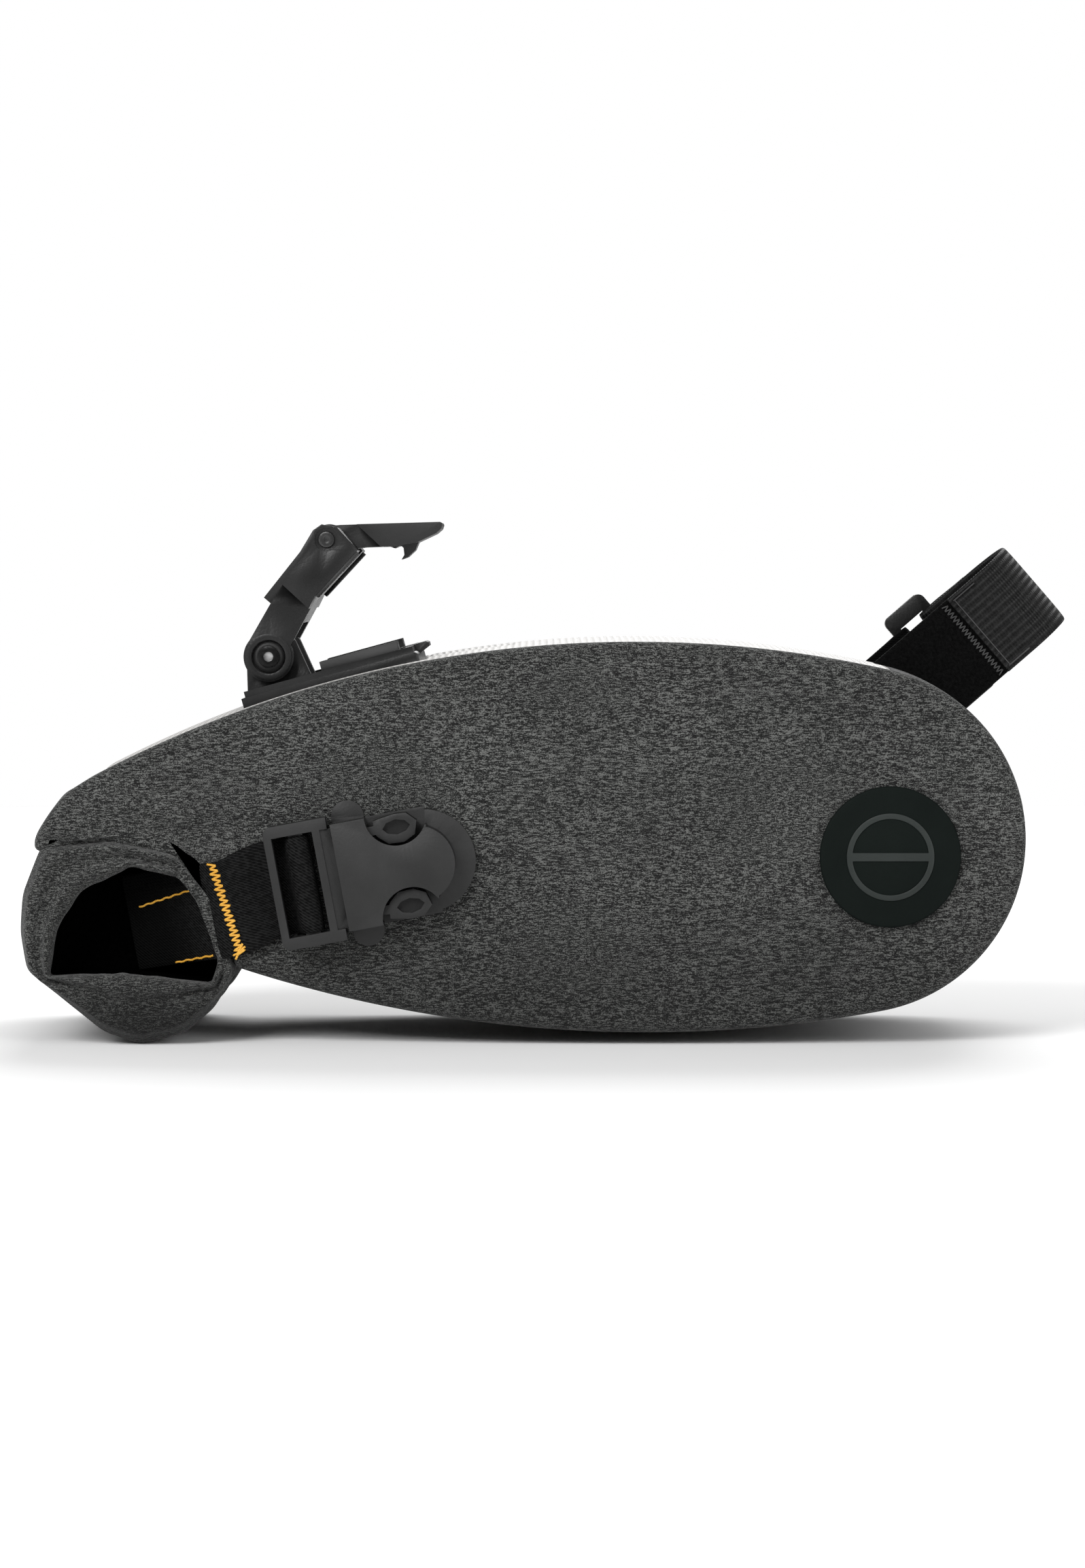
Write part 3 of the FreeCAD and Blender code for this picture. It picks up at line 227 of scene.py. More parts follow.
def new_group(name, values):
    """An empty group with a Vector input, the named float inputs and a Height output."""
    group = bpy.data.node_groups.new(name, "ShaderNodeTree")
    group.interface.new_socket("Vector", in_out="INPUT", socket_type="NodeSocketVector")
    for label, value in values.items():
        socket = group.interface.new_socket(label, in_out="INPUT", socket_type="NodeSocketFloat")
        socket.default_value = value
    group.interface.new_socket("Height", in_out="OUTPUT", socket_type="NodeSocketFloat")
    source = group.nodes.new("NodeGroupInput")
    sink = group.nodes.new("NodeGroupOutput")
    return group, source, sink


# %% Woven threads
# The height is (1 - rib) sin(along x + slant across y) + rib sin(across y).
woven, source, sink = new_group("woven_threads",
                                {"Along": 1000.0, "Across": 1000.0, "Slant": 0.0, "Rib": 0.3})
split = add_node(woven, "ShaderNodeSeparateXYZ")
woven.links.new(source.outputs["Vector"], split.inputs[0])
warp = math_node(woven, "MULTIPLY", split.outputs["X"], source.outputs["Along"])
weft = math_node(woven, "MULTIPLY", split.outputs["Y"], source.outputs["Across"])
slant = math_node(woven, "MULTIPLY", weft, source.outputs["Slant"])
crown = math_node(woven, "SINE", math_node(woven, "ADD", warp, slant))
thread = math_node(woven, "SINE", weft)
rest = math_node(woven, "SUBTRACT", 1.0, source.outputs["Rib"])
total = math_node(woven, "ADD", math_node(woven, "MULTIPLY", crown, rest),
                  math_node(woven, "MULTIPLY", thread, source.outputs["Rib"]))
woven.links.new(total, sink.inputs["Height"])
print("group", woven.name)

# %% Melange
# Two noises, one drawn out along X as fibres and one nearly round as specks, are mixed.
STREAK_SHARE, SPECK_SHARE = 0.55, 0.45
melange, source, sink = new_group("melange", {"Fineness": 1.0})
sized = add_node(melange, "ShaderNodeVectorMath", operation="SCALE")
melange.links.new(source.outputs["Vector"], sized.inputs[0])
melange.links.new(source.outputs["Fineness"], sized.inputs["Scale"])
streak = noise(melange, stretched(melange, sized.outputs[0], (0.2, 0.5, 1)), 2300, 2.0, 0.6)
speck = noise(melange, stretched(melange, sized.outputs[0], (0.8, 1, 1)), 2700, 1.0, 0.5)
both = math_node(melange, "ADD", math_node(melange, "MULTIPLY", streak, STREAK_SHARE),
                 math_node(melange, "MULTIPLY", speck, SPECK_SHARE))
melange.links.new(both, sink.inputs["Height"])
print("group", melange.name)

# %% Fine grain
grain, source, sink = new_group("fine_grain", {"Size": 1400.0})
node = add_node(grain, "ShaderNodeTexNoise")
node.inputs["Detail"].default_value = 3
grain.links.new(source.outputs["Vector"], node.inputs["Vector"])
grain.links.new(source.outputs["Size"], node.inputs["Scale"])
grain.links.new(node.outputs["Fac"], sink.inputs["Height"])
print("group", grain.name)


# %% Materials
def new_material(name, roughness, **uniform):
    """A material with a Principled shader; the uniform values go on the shader's own sockets."""
    material = bpy.data.materials.new(name)
    material.use_nodes = True
    shader = material.node_tree.nodes["Principled BSDF"]
    shader.inputs["Roughness"].default_value = roughness
    for key, value in uniform.items():
        shader.inputs[key.replace("_", " ")].default_value = value
    return material, material.node_tree, shader


def use_group(tree, group, vector, **values):
    """The Height of a group placed in a material."""
    node = tree.nodes.new("ShaderNodeGroup")
    node.node_tree = group
    tree.links.new(vector, node.inputs["Vector"])
    for key, value in values.items():
        node.inputs[key].default_value = value
    return node.outputs["Height"]


def ramp(tree, factor, stops):
    """A colour for each level of factor; stops are (level, (r, g, b))."""
    node = add_node(tree, "ShaderNodeValToRGB")
    while len(node.color_ramp.elements) < len(stops):
        node.color_ramp.elements.new(0.5)
    for element, (level, colour) in zip(node.color_ramp.elements, stops):
        element.position = level
        element.color = (*colour, 1)
    tree.links.new(factor, node.inputs["Fac"])
    return node.outputs["Color"]


def bump(tree, shader, height, depth, strength=1.0):
    """Raises the shader's surface by height times depth, in metres."""
    node = add_node(tree, "ShaderNodeBump")
    node.inputs["Strength"].default_value = strength
    node.inputs["Distance"].default_value = depth
    tree.links.new(height, node.inputs["Height"])
    tree.links.new(node.outputs["Normal"], shader.inputs["Normal"])


def coordinates(tree, kind="Object"):
    """Places on the object itself, or another output of Texture Coordinate."""
    return add_node(tree, "ShaderNodeTexCoord").outputs[kind]


def shaded(tree, colour, source, axis, start, end, darkest):
    """Multiplies colour by darkest where |source| along axis is below start, and by 1 above end."""
    split = add_node(tree, "ShaderNodeSeparateXYZ")
    tree.links.new(source, split.inputs[0])
    level = add_node(tree, "ShaderNodeMapRange", interpolation_type="SMOOTHSTEP")
    tree.links.new(math_node(tree, "ABSOLUTE", split.outputs[axis]), level.inputs["Value"])
    for key, value in (("From Min", start), ("From Max", end), ("To Min", darkest), ("To Max", 1.0)):
        level.inputs[key].default_value = value
    scaled = add_node(tree, "ShaderNodeVectorMath", operation="SCALE")
    tree.links.new(colour, scaled.inputs[0])
    tree.links.new(level.outputs[0], scaled.inputs["Scale"])
    return scaled.outputs[0]


def heather(name, dark, light, fineness=1.0, painted_ground_shade=1.0, shade_top=0.021):
    """Melange cloth: pale fibres among dark ones, in short streaks along X.

    The argument after fineness is a painted shade near the ground: the share of its colour that the
    cloth keeps at the ground, rising to 1 at the height shade_top.
    """
    material, tree, shader = new_material(name, 0.92, Specular_IOR_Level=0.2, Sheen_Weight=0.12,
                                          Sheen_Roughness=0.5)
    place = coordinates(tree)
    height = use_group(tree, melange, place, Fineness=fineness)
    middle = tuple(0.75 * a + 0.25 * b for a, b in zip(dark, light))
    colour = ramp(tree, height, [(0.44, dark), (0.51, middle), (0.585, light)])
    # Painted shade: the colour darkens towards the ground, below the height shade_top.
    colour = shaded(tree, colour, place, "Z", 0.004, shade_top, painted_ground_shade)
    cloud = ramp(tree, noise(tree, place, 28, 3), [(0.3, (0.86, 0.86, 0.86)), (0.7, (1.1, 1.1, 1.1))])
    mix = add_node(tree, "ShaderNodeMix", data_type="RGBA", blend_type="MULTIPLY")
    mix.inputs["Factor"].default_value = 1
    tree.links.new(colour, mix.inputs[6])
    tree.links.new(cloud, mix.inputs[7])
    tree.links.new(mix.outputs[2], shader.inputs["Base Color"])
    bump(tree, shader, height, 0.0005, 0.8)
    return material


def ribbed(name, colour, lit, along, across, slant, rib, depth, roughness, deep=None, **uniform):
    """Webbing: threads along and across the strap, from its own UV map.

    deep is a pair of distances from the bag's middle plane for a painted shade: nearer the middle
    than the first the colour falls to a tenth, and from the second on it is full.
    """
    material, tree, shader = new_material(name, roughness, **uniform)
    height = use_group(tree, woven, coordinates(tree, "UV"), Along=along, Across=across,
                       Slant=slant, Rib=rib)
    fibre = noise(tree, coordinates(tree), 900, 3)
    mixed = math_node(tree, "ADD", math_node(tree, "MULTIPLY", height, 0.25), fibre)
    tint = ramp(tree, mixed, [(0.3, colour), (0.75, lit)])
    if deep:
        # Painted shade where the strap lies deep in the roll.
        tint = shaded(tree, tint, coordinates(tree), "Y", *deep, 0.1)
    tree.links.new(tint, shader.inputs["Base Color"])
    bump(tree, shader, height, depth)
    return material


HOLLOW_SHADE = 0.06
UNEVEN_GLOSS = 0.07


def moulded(name, colour, lit, roughness, size=1500.0, depth=0.00004, hollow=None, **uniform):
    """Plastic or rubber: nearly one colour, with a fine grain and slightly uneven gloss.

    hollow is a pair of distances from the bag's middle plane for a painted shade deep in a dish.
    Below the first the colour is nearly black, and above the second it is the full colour.
    """
    material, tree, shader = new_material(name, roughness, **uniform)
    place = coordinates(tree)
    cloud = noise(tree, place, 60, 4)
    tint = ramp(tree, cloud, [(0.35, colour), (0.7, lit)])
    # Painted shade: nearly black deep in a dish.
    if hollow:
        tint = shaded(tree, tint, place, "Y", *hollow, HOLLOW_SHADE)
    tree.links.new(tint, shader.inputs["Base Color"])
    gloss = add_node(tree, "ShaderNodeMapRange")
    gloss.inputs["To Min"].default_value = roughness - UNEVEN_GLOSS
    gloss.inputs["To Max"].default_value = roughness + UNEVEN_GLOSS
    tree.links.new(cloud, gloss.inputs["Value"])
    tree.links.new(gloss.outputs[0], shader.inputs["Roughness"])
    bump(tree, shader, use_group(tree, grain, place, Size=size), depth)
    return material


def plain_grey(value, tint=(1, 1, 1)):
    """A grey of that value, with a factor for each channel."""
    return tuple(value * t for t in tint)


# %% [markdown]
# ## The finishes
# The sides are a cloth of dark and pale fibres, so their colour comes from fine noise and not from
# a weave.  Straps show their ribs, so their pattern follows the strap through its UV map.  Plastic
# and rubber are nearly one colour, and it is their gloss that tells them apart.  A picture of each
# finish could be wrapped on too, but patterns worked out in place stay sharp and never stretch.

# %% Cloth and webbing
# TURN / pitch is the angle, per metre, of a thread that comes again every pitch millimetres.
TURN = 2 * math.pi / MM
FINE = 1.45
GREEN_BLACK, WARM_WHITE, WARM_GREY = (1, 1.03, 1.01), (1, 1.02, 0.98), (1, 0.98, 0.95)
# Both cloths carry a painted shade low down. The roll's shade is stronger and its pale fibres a little
# darker, a shaded copy of the side cloth.
side_heather_low_shade = heather("heather_fabric", plain_grey(0.005, GREEN_BLACK), plain_grey(0.12, WARM_WHITE),
                       FINE, 0.6, 0.05)
roll_heather_low_shade = heather("roll_heather_low_shade", plain_grey(0.005, GREEN_BLACK), plain_grey(0.11, WARM_WHITE),
                       FINE, 0.3)
belly_cloth = heather("belly_fabric", plain_grey(0.006), plain_grey(0.09))
# Painted shade: the cloth deep in the roll's hollows is near black.
hollow_shade_cloth = ribbed("hollow_painted_shade", plain_grey(0.0003), plain_grey(0.0012),
                      TURN / 0.9, TURN / 0.9, 1, 0.3, 0.0001, 0.95, Specular_IOR_Level=0.0)
# The back's gusset is pale grey partly as its own colour and partly as a painted highlight: the glare of its
# coated face at a grazing angle.
gusset_glare_cloth = ribbed("gusset_fabric", plain_grey(0.42, WARM_GREY), plain_grey(0.62, WARM_GREY),
                      TURN / 1.75, TURN / 0.9, 0, 0.3, 0.0002, 0.55, Coat_Weight=0.15, Coat_Roughness=0.4)
# The twill gets a painted shade nearer than 31 to 41 mm to the middle plane, where the webbing goes into the
# roll. It also darkens the ring holder, which lies near that plane.
twill = ribbed("twill_webbing", plain_grey(0.002), plain_grey(0.015),
               TURN / 0.9, TURN / 0.9, 1, 0.3, 0.00015, 0.85, (0.031, 0.041), Specular_IOR_Level=0.08)
rib_web = ribbed("ribbed_webbing", plain_grey(0.002), plain_grey(0.016),
                 TURN / 0.8, TURN / 1.9, 0, 0.8, 0.00045, 0.6, Specular_IOR_Level=0.25)
print("cloth and webbing, threads every 0.8 to 1.9 mm")

# %% Plastic, rubber and steel
# The prong's dish gets a painted shade between these two depths.
prong_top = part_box("prong_upper_far")[1].y
PRONG_DISH_SHADE = (prong_top - 1.3 * MM, prong_top - 0.4 * MM)
black_plastic = moulded("buckle_plastic", plain_grey(0.011), plain_grey(0.02), 0.5, Specular_IOR_Level=0.35)
dish_shaded_plastic = moulded("prong_plastic_dish_shade", plain_grey(0.011), plain_grey(0.02), 0.5, hollow=PRONG_DISH_SHADE,
                         Specular_IOR_Level=0.3)
clamp_plastic = moulded("clamp_plastic", plain_grey(0.0055), plain_grey(0.013), 0.36, Specular_IOR_Level=0.32)
ring_plastic = moulded("ring_plastic", plain_grey(0.003), plain_grey(0.008), 0.3, Specular_IOR_Level=0.4)
soft_rubber = moulded("badge_rubber", (0.003, 0.005, 0.0043), (0.005, 0.0075, 0.0065), 0.75, 2500.0, 0.00002,
                      Specular_IOR_Level=0.08)
mark_rubber = moulded("mark_rubber", (0.012, 0.016, 0.0145), (0.018, 0.023, 0.021), 0.5, 2500.0, 0.00002,
                      Specular_IOR_Level=0.3)
grip_rubber = moulded("grip_rubber", plain_grey(0.02), plain_grey(0.035), 0.7)
steel = moulded("plated_steel", plain_grey(0.42), plain_grey(0.56), 0.3, 3000.0, 0.00001, Metallic=1.0)
dark_steel = moulded("blackened_steel", plain_grey(0.04), plain_grey(0.08), 0.34, 3000.0, 0.00001,
                     Metallic=1.0)


def bolt_finish(name, axis_x, axis_z, bright_radius):
    """Blackened steel with a bright steel spot round the axis at (axis_x, axis_z), out to the radius given
    last.
    """
    material, tree, shader = new_material(name, 0.3, Metallic=1.0)
    split = add_node(tree, "ShaderNodeSeparateXYZ")
    tree.links.new(coordinates(tree), split.inputs[0])
    across = math_node(tree, "SUBTRACT", split.outputs["X"], axis_x)
    up = math_node(tree, "SUBTRACT", split.outputs["Z"], axis_z)
    square = math_node(tree, "ADD", math_node(tree, "MULTIPLY", across, across),
                       math_node(tree, "MULTIPLY", up, up))
    share = math_node(tree, "MULTIPLY", square, 1 / bright_radius ** 2)
    bright_spot = ramp(tree, share, [(0.0, plain_grey(0.5)), (0.55, plain_grey(0.3)), (0.8, plain_grey(0.02))])
    tree.links.new(bright_spot, shader.inputs["Base Color"])
    return material


pin_low, pin_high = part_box("hinge_screw")
pin_middle = (pin_low + pin_high) / 2
bolt_steel = bolt_finish("bolt_steel", pin_middle.x, pin_middle.z, 1.5 * MM)
print(len(bpy.data.materials), "materials")

# %% [markdown]
# ## The outline of the pouch
# Seen from the side the pouch is three arcs that run into each other: the back, the nose and the
# belly.  It could be drawn as a curve by hand, but real patterns for such a bag are cut with long
# arcs.  Every panel follows this line, so it is worked out once, as points with their outward
# directions.

# %% Arcs
HALF_WIDTH = 42.0
BACK_RADIUS, BELLY_RADIUS, NOSE_RADIUS = 300.0, 340.0, 45.0
NOSE = np.array([79.4, 53.0])
BACK_TOP, BELLY_LOW = 104.2, 3.2


def inner_tangent(radius, edge_height, side):
    """Centre of a large arc whose crown is at edge_height and which holds the nose arc inside it."""
    height = edge_height - side * radius
    reach = math.sqrt((radius - NOSE_RADIUS) ** 2 - (NOSE[1] - height) ** 2)
    return np.array([NOSE[0] - reach, height])


BACK = inner_tangent(BACK_RADIUS, BACK_TOP, 1)
BELLY = inner_tangent(BELLY_RADIUS, BELLY_LOW, -1)


def arc_line(centre, radius, start, end, count):
    """count points on an arc between two angles."""
    angle = np.linspace(start, end, count)
    return centre + radius * np.stack([np.cos(angle), np.sin(angle)], -1)


def angle_at(centre, radius, x, side):
    """Angle at which an arc passes x, above its centre for side 1 and below it for side -1."""
    return side * math.acos((x - centre[0]) / radius)


back_joint = math.atan2(*(NOSE - BACK)[::-1])
belly_joint = math.atan2(*(NOSE - BELLY)[::-1])
print("back and belly meet the nose at", np.degrees([back_joint, belly_joint]).round(1))


def back_height(x):
    """Height of the back's arc over the ground at x."""
    return BACK[1] + np.sqrt(BACK_RADIUS ** 2 - (x - BACK[0]) ** 2)


# %% [markdown]
# ## Side panels
# Each side is one piece of padded melange cloth.  It runs from the nose back over the roll, where
# its lower edge turns in and makes a soft valley above the rolled mouth.  A cloth simulation could
# make its folds, but the panel has a stiff board in it and hardly hangs.  So it is built from
# rings: the outline, pulled in round its rounded edge, then shrunk towards one point inside.

# %% Side panel
BACK_END, BELLY_END = -116.5, -80.0
REAR_EDGE = np.array([(BACK_END, 0), (-123.4, 65.2), (-128, 59.4), (-131.2, 54.2), (-132, 50.4), (-125, 50),
                      (-112, 50.4), (-101.5, 48.4), (-93.5, 44.6), (-87.5, 39), (-83.6, 32), (-80.6, 25),
                      (BELLY_END, 0)])
REAR_EDGE[0, 1] = back_height(BACK_END)
BELLY_REAR = arc_line(BELLY, BELLY_RADIUS, angle_at(BELLY, BELLY_RADIUS, BELLY_END, -1), belly_joint, 90)
REAR_EDGE[-1, 1] = BELLY_REAR[0, 1]


def panel_outline():
    """The side's closed outline: back, nose, belly, then up the rear edge."""
    back = arc_line(BACK, BACK_RADIUS, angle_at(BACK, BACK_RADIUS, BACK_END, 1), back_joint, 110)
    nose = arc_line(NOSE, NOSE_RADIUS, back_joint, belly_joint, 70)
    return np.concatenate([back, nose[1:], BELLY_REAR[::-1][1:], REAR_EDGE[::-1][1:-1]])


def even(points, count, soften=0.0):
    """The closed line resampled to count equal steps and softened by a Gaussian of that length."""
    loop = np.concatenate([points, points[:1]])
    step = np.r_[0, np.cumsum(np.linalg.norm(np.diff(loop, axis=0), axis=1))]
    place = np.linspace(0, step[-1], count, endpoint=False)
    line = np.stack([np.interp(place, step, loop[:, axis]) for axis in (0, 1)], -1)
    if soften:
        offset = np.minimum(place, step[-1] - place)
        weight = np.exp(-0.5 * (offset / soften) ** 2)
        weight /= weight.sum()
        line = np.fft.ifft(np.fft.fft(line, axis=0) * np.fft.fft(weight)[:, None], axis=0).real
    return line


def outward(line):
    """Unit directions that point out of a closed line, on either turn."""
    along = np.roll(line, -1, axis=0) - np.roll(line, 1, axis=0)
    across = np.stack([along[:, 1], -along[:, 0]], -1)
    across /= np.linalg.norm(across, axis=1, keepdims=True)
    area = np.sum(line[:, 0] * np.roll(line[:, 1], -1) - line[:, 1] * np.roll(line[:, 0], -1))
    return across if area > 0 else -across


SIDE_EDGE = 2.6
SIDE_WALL = 2.3
SIDE_BACK_INSET = 0.8
FACE_SINK = 0.25
FACE_WAVE = 0.22
SIDE_HEART = np.array([-38.0, 63.0])
side_line = even(panel_outline(), 420, 1.2)
side_out = outward(side_line)


VALLEY = 2.6
FOLD_START, FOLD_END = np.array([-119.0, 61.5]), np.array([-74.0, 50.0])


def fold_depth(points):
    """A soft crease above the roll: depth * exp(-(d / width)^2), d from the line, faded at its ends."""
    line = FOLD_END - FOLD_START
    share = (points - FOLD_START) @ line / (line @ line)
    apart = (points[:, 0] - FOLD_START[0]) * line[1] - (points[:, 1] - FOLD_START[1]) * line[0]
    apart = apart / np.linalg.norm(line) - 2.2 * np.sin(share * 5)
    fade = smooth_step(share / 0.3) * smooth_step((1 - share) / 0.35)
    return 1.5 * fade * np.exp(-(apart / 3.6) ** 2) - 0.5 * fade * np.exp(-((apart + 6.5) / 3.5) ** 2)


def side_rings(side):
    """Rings of one side panel: flat back, rounded edge, then the face, which waves very slightly."""
    turn = np.linspace(0, math.pi / 2, 7)
    rings = []
    for share in np.linspace(0.1, 1, 6):
        ring = SIDE_HEART + (side_line - side_out * SIDE_BACK_INSET - SIDE_HEART) * share
        rings.append((ring, np.full(len(ring), HALF_WIDTH - SIDE_WALL)))
    # The valley over the roll is whole behind x = -89 and below z = 52.
    valley = smooth_step((-81 - side_line[:, 0]) / 8) * smooth_step((57 - side_line[:, 1]) / 5)
    for angle in turn:
        inset = SIDE_EDGE * (1 - math.cos(angle))
        height = HALF_WIDTH - SIDE_WALL + SIDE_WALL * math.sin(angle) - VALLEY * valley
        rings.append((side_line - side_out * inset, height))
    face = side_line - side_out * SIDE_EDGE
    for share in np.concatenate([np.linspace(0.99, 0.62, 34), np.linspace(0.59, 0.05, 16)]):
        ring = SIDE_HEART + (face - SIDE_HEART) * share
        deep = valley * VALLEY * smooth_step((share - 0.86) / 0.14) + fold_depth(ring)
        wave = FACE_WAVE * np.sin(ring[:, 0] / 17 + 1) * np.sin(ring[:, 1] / 13) * (1 - share ** 6)
        rings.append((ring, HALF_WIDTH - FACE_SINK + wave - deep))
    return np.array([np.stack([ring[:, 0], side * height, ring[:, 1]], -1) for ring, height in rings])


for side, label in ((-1, "near"), (1, "far")):
    panel = skin("side_cloth_" + label, side_rings(side))
    panel.data.materials.append(side_heather_low_shade)
    settle(panel, "bag", ["side_panel_" + label])

# %% [markdown]
# ## Gusset
# A band of cloth joins the two sides.  On the back it is a ribbed fabric with a coating, pale grey
# partly of its own and partly as a painted highlight, the glare of the coating at a grazing view;
# round the nose and under the belly it is the melange cloth.  A plain sheet with Solidify would do
# where nothing lies on it.  Here the band is a flat ring carried along the outline, so that it can
# bulge in the middle, dip at its seams and lie flat under the clamp's base.

# %% Clamp frame
CLAMP_REAR, CLAMP_LENGTH, CLAMP_SINK = -78.0, 47.4, 0.6
start_angle = math.atan2(back_height(CLAMP_REAR) - BACK[1], CLAMP_REAR - BACK[0])
clamp_tilt = start_angle - math.asin(CLAMP_LENGTH / 2 / BACK_RADIUS) - math.pi / 2
clamp_x = np.array([math.cos(clamp_tilt), math.sin(clamp_tilt)])
clamp_z = np.array([-clamp_x[1], clamp_x[0]])
clamp_corner = np.array([CLAMP_REAR, back_height(CLAMP_REAR)]) - CLAMP_SINK * clamp_z
print("clamp tilt", round(math.degrees(clamp_tilt), 2))


CLOTH_GAP = 0.15
PRESS_MARGIN, PRESS_FADE, PRESS_HALF = 1.8, 1.5, 32.0
LEVER_GIVE, LEVER_REACH, LEVER_HALF = 0.9, 26.0, 20.0


def under_clamp(points):
    """Presses the cloth down under the clamp base, and lets it give way where the closed lever lies."""
    local = points[..., [0, 2]] - clamp_corner
    along = local @ clamp_x
    above = local @ clamp_z + CLOTH_GAP
    inside = smooth_step((along + PRESS_MARGIN) / PRESS_FADE)
    inside *= smooth_step((CLAMP_LENGTH + PRESS_MARGIN - along) / PRESS_FADE)
    inside *= smooth_step((PRESS_HALF - np.abs(points[..., 1])) / PRESS_FADE)
    give = LEVER_GIVE * smooth_step((along - CLAMP_LENGTH + 6) / 4)
    give *= smooth_step((CLAMP_LENGTH + LEVER_REACH - along) / 5)
    give *= smooth_step((LEVER_HALF - np.abs(points[..., 1])) / 5)
    drop = np.clip(above, 0, None) * inside + give * (1 - inside)
    points[..., 0] -= drop * clamp_z[0]
    points[..., 2] -= drop * clamp_z[1]
    return points


GUSSET_HALF = 39.6
GUSSET_WALL = 2.0
GUSSET_REAR = -113.0
CROWN = 0.7
SEAM_DIP, SEAM_REACH = 0.8, 1.3


def band(name, line, out, material, slot, stands_for, press=False):
    """A flat closed ring carried along line, with a crown in the middle and a dip at each seam.

    Over the line its height at y is CROWN (1 - (y / half)^2) - SEAM_DIP exp(-((half - |y|) / SEAM_REACH)^2).
    """
    top = np.linspace(-GUSSET_HALF, GUSSET_HALF, 41)
    width = np.concatenate([top, top[::-1]])
    rise = CROWN * (1 - (top / GUSSET_HALF) ** 2)
    rise = rise - SEAM_DIP * np.exp(-((GUSSET_HALF - np.abs(top)) / SEAM_REACH) ** 2)
    height = np.concatenate([rise, np.full(len(top), -GUSSET_WALL)])
    rings = np.zeros((len(line), len(width), 3))
    rings[..., 0] = line[:, None, 0] + out[:, None, 0] * height
    rings[..., 2] = line[:, None, 1] + out[:, None, 1] * height
    rings[..., 1] = width
    if press:
        rings[:, :len(top)] = under_clamp(rings[:, :len(top)])
    lengths = np.r_[0, np.cumsum(np.linalg.norm(np.diff(line, axis=0), axis=1))] * MM
    piece = skin(name, rings, lengths, np.append(width, width[0]) * MM)
    piece.data.materials.append(material)
    settle(piece, "bag", stands_for)


def arc_band(centre, radius, start, end, count):
    """Points on an arc and their directions away from its centre."""
    line = arc_line(centre, radius, start, end, count)
    return line, (line - centre) / radius


GAP_ANGLE = 0.004
band("gusset_back", *arc_band(BACK, BACK_RADIUS, angle_at(BACK, BACK_RADIUS, GUSSET_REAR, 1),
                              back_joint, 150),
     gusset_glare_cloth, "gusset_fabric", ["top_panel"], press=True)
band("gusset_nose", *arc_band(NOSE, NOSE_RADIUS, back_joint - GAP_ANGLE, belly_joint + GAP_ANGLE, 90),
     belly_cloth, "heather_fabric", ["nose_panel"])
band("gusset_belly", *arc_band(BELLY, BELLY_RADIUS, belly_joint - GAP_ANGLE / 8,
                               angle_at(BELLY, BELLY_RADIUS, BELLY_END, -1), 120),
     belly_cloth, "heather_fabric", ["belly_panel", "liner"])

# %% [markdown]
# ## Rear collar
# Behind the pouch the cloth narrows and turns down into the roll.  On the real bag it is the same
# sheet as the mouth.  Here it is a closed pillow between the two sides, with the same outline at
# each station across the bag and pulled in at both ends, because its inside is never seen.

# %% Collar
collar_points = np.array([(-78, 0), (-97, 0), (-116.8, 0), (-123.8, 65.4), (-128.4, 59.4), (-131.8, 54),
                          (-132.4, 50), (-125, 49), (-112.6, 50), (-95, 46), (-83, 35), (-78, 28)])
collar_points[:3, 1] = back_height(collar_points[:3, 0]) - np.array([2.6, 2.6, 0.9])
COLLAR_HALF = 40.0
COLLAR_EDGE = 4.0
collar_line = even(collar_points, 200, 1.6)
collar_out = outward(collar_line)
collar_heart = np.array([-103.0, 62.0])


def pillow(line, out, heart, half, edge, waves=0.0):
    """Rings across the bag: shrunk caps at y = -half and half, a rounded edge and straight stations.

    Along the edge the outline is pulled in by edge * (1 - cos t) while y moves by edge * sin t.
    waves is the height of a slight ripple on the straight part.
    """
    stations = [(heart + (line - out * edge - heart) * share, -half) for share in (0.15, 0.5, 0.85)]
    for angle in np.linspace(math.pi / 2, 0, 6):
        stations.append((line - out * edge * (1 - math.cos(angle)), -half + edge * (1 - math.sin(angle))))
    first = list(stations)
    for y in np.linspace(-half + edge, half - edge, 24)[1:-1]:
        stations.append((line + out * waves * math.sin(y / 7.3) * np.sin(line[:, :1] / 6.1), y))
    stations += [(ring, -y) for ring, y in first[::-1]]
    return np.array([np.stack([ring[:, 0], np.full(len(ring), y), ring[:, 1]], -1) for ring, y in stations])


collar = skin("collar_cloth", pillow(collar_line, collar_out, collar_heart, COLLAR_HALF, COLLAR_EDGE, 0.3))
collar.data.materials.append(side_heather_low_shade)
settle(collar, "bag", ["rear_collar"])

# %% [markdown]
# ## Rolled mouth
# The mouth is rolled up and each end of the roll is an open hollow, with the webbing coming out of
# it.  One skin makes the whole roll: it starts deep inside the near hollow, comes out over the
# folded lip, runs across the bag and goes back in at the far side.  The end face between hollow and
# outside is where the layers show, as a thick lip, a crease and a flap.  A sheet wound in a spiral
# would have every layer, but all but the outer ones are hidden, and their edges would cut into
# each other.

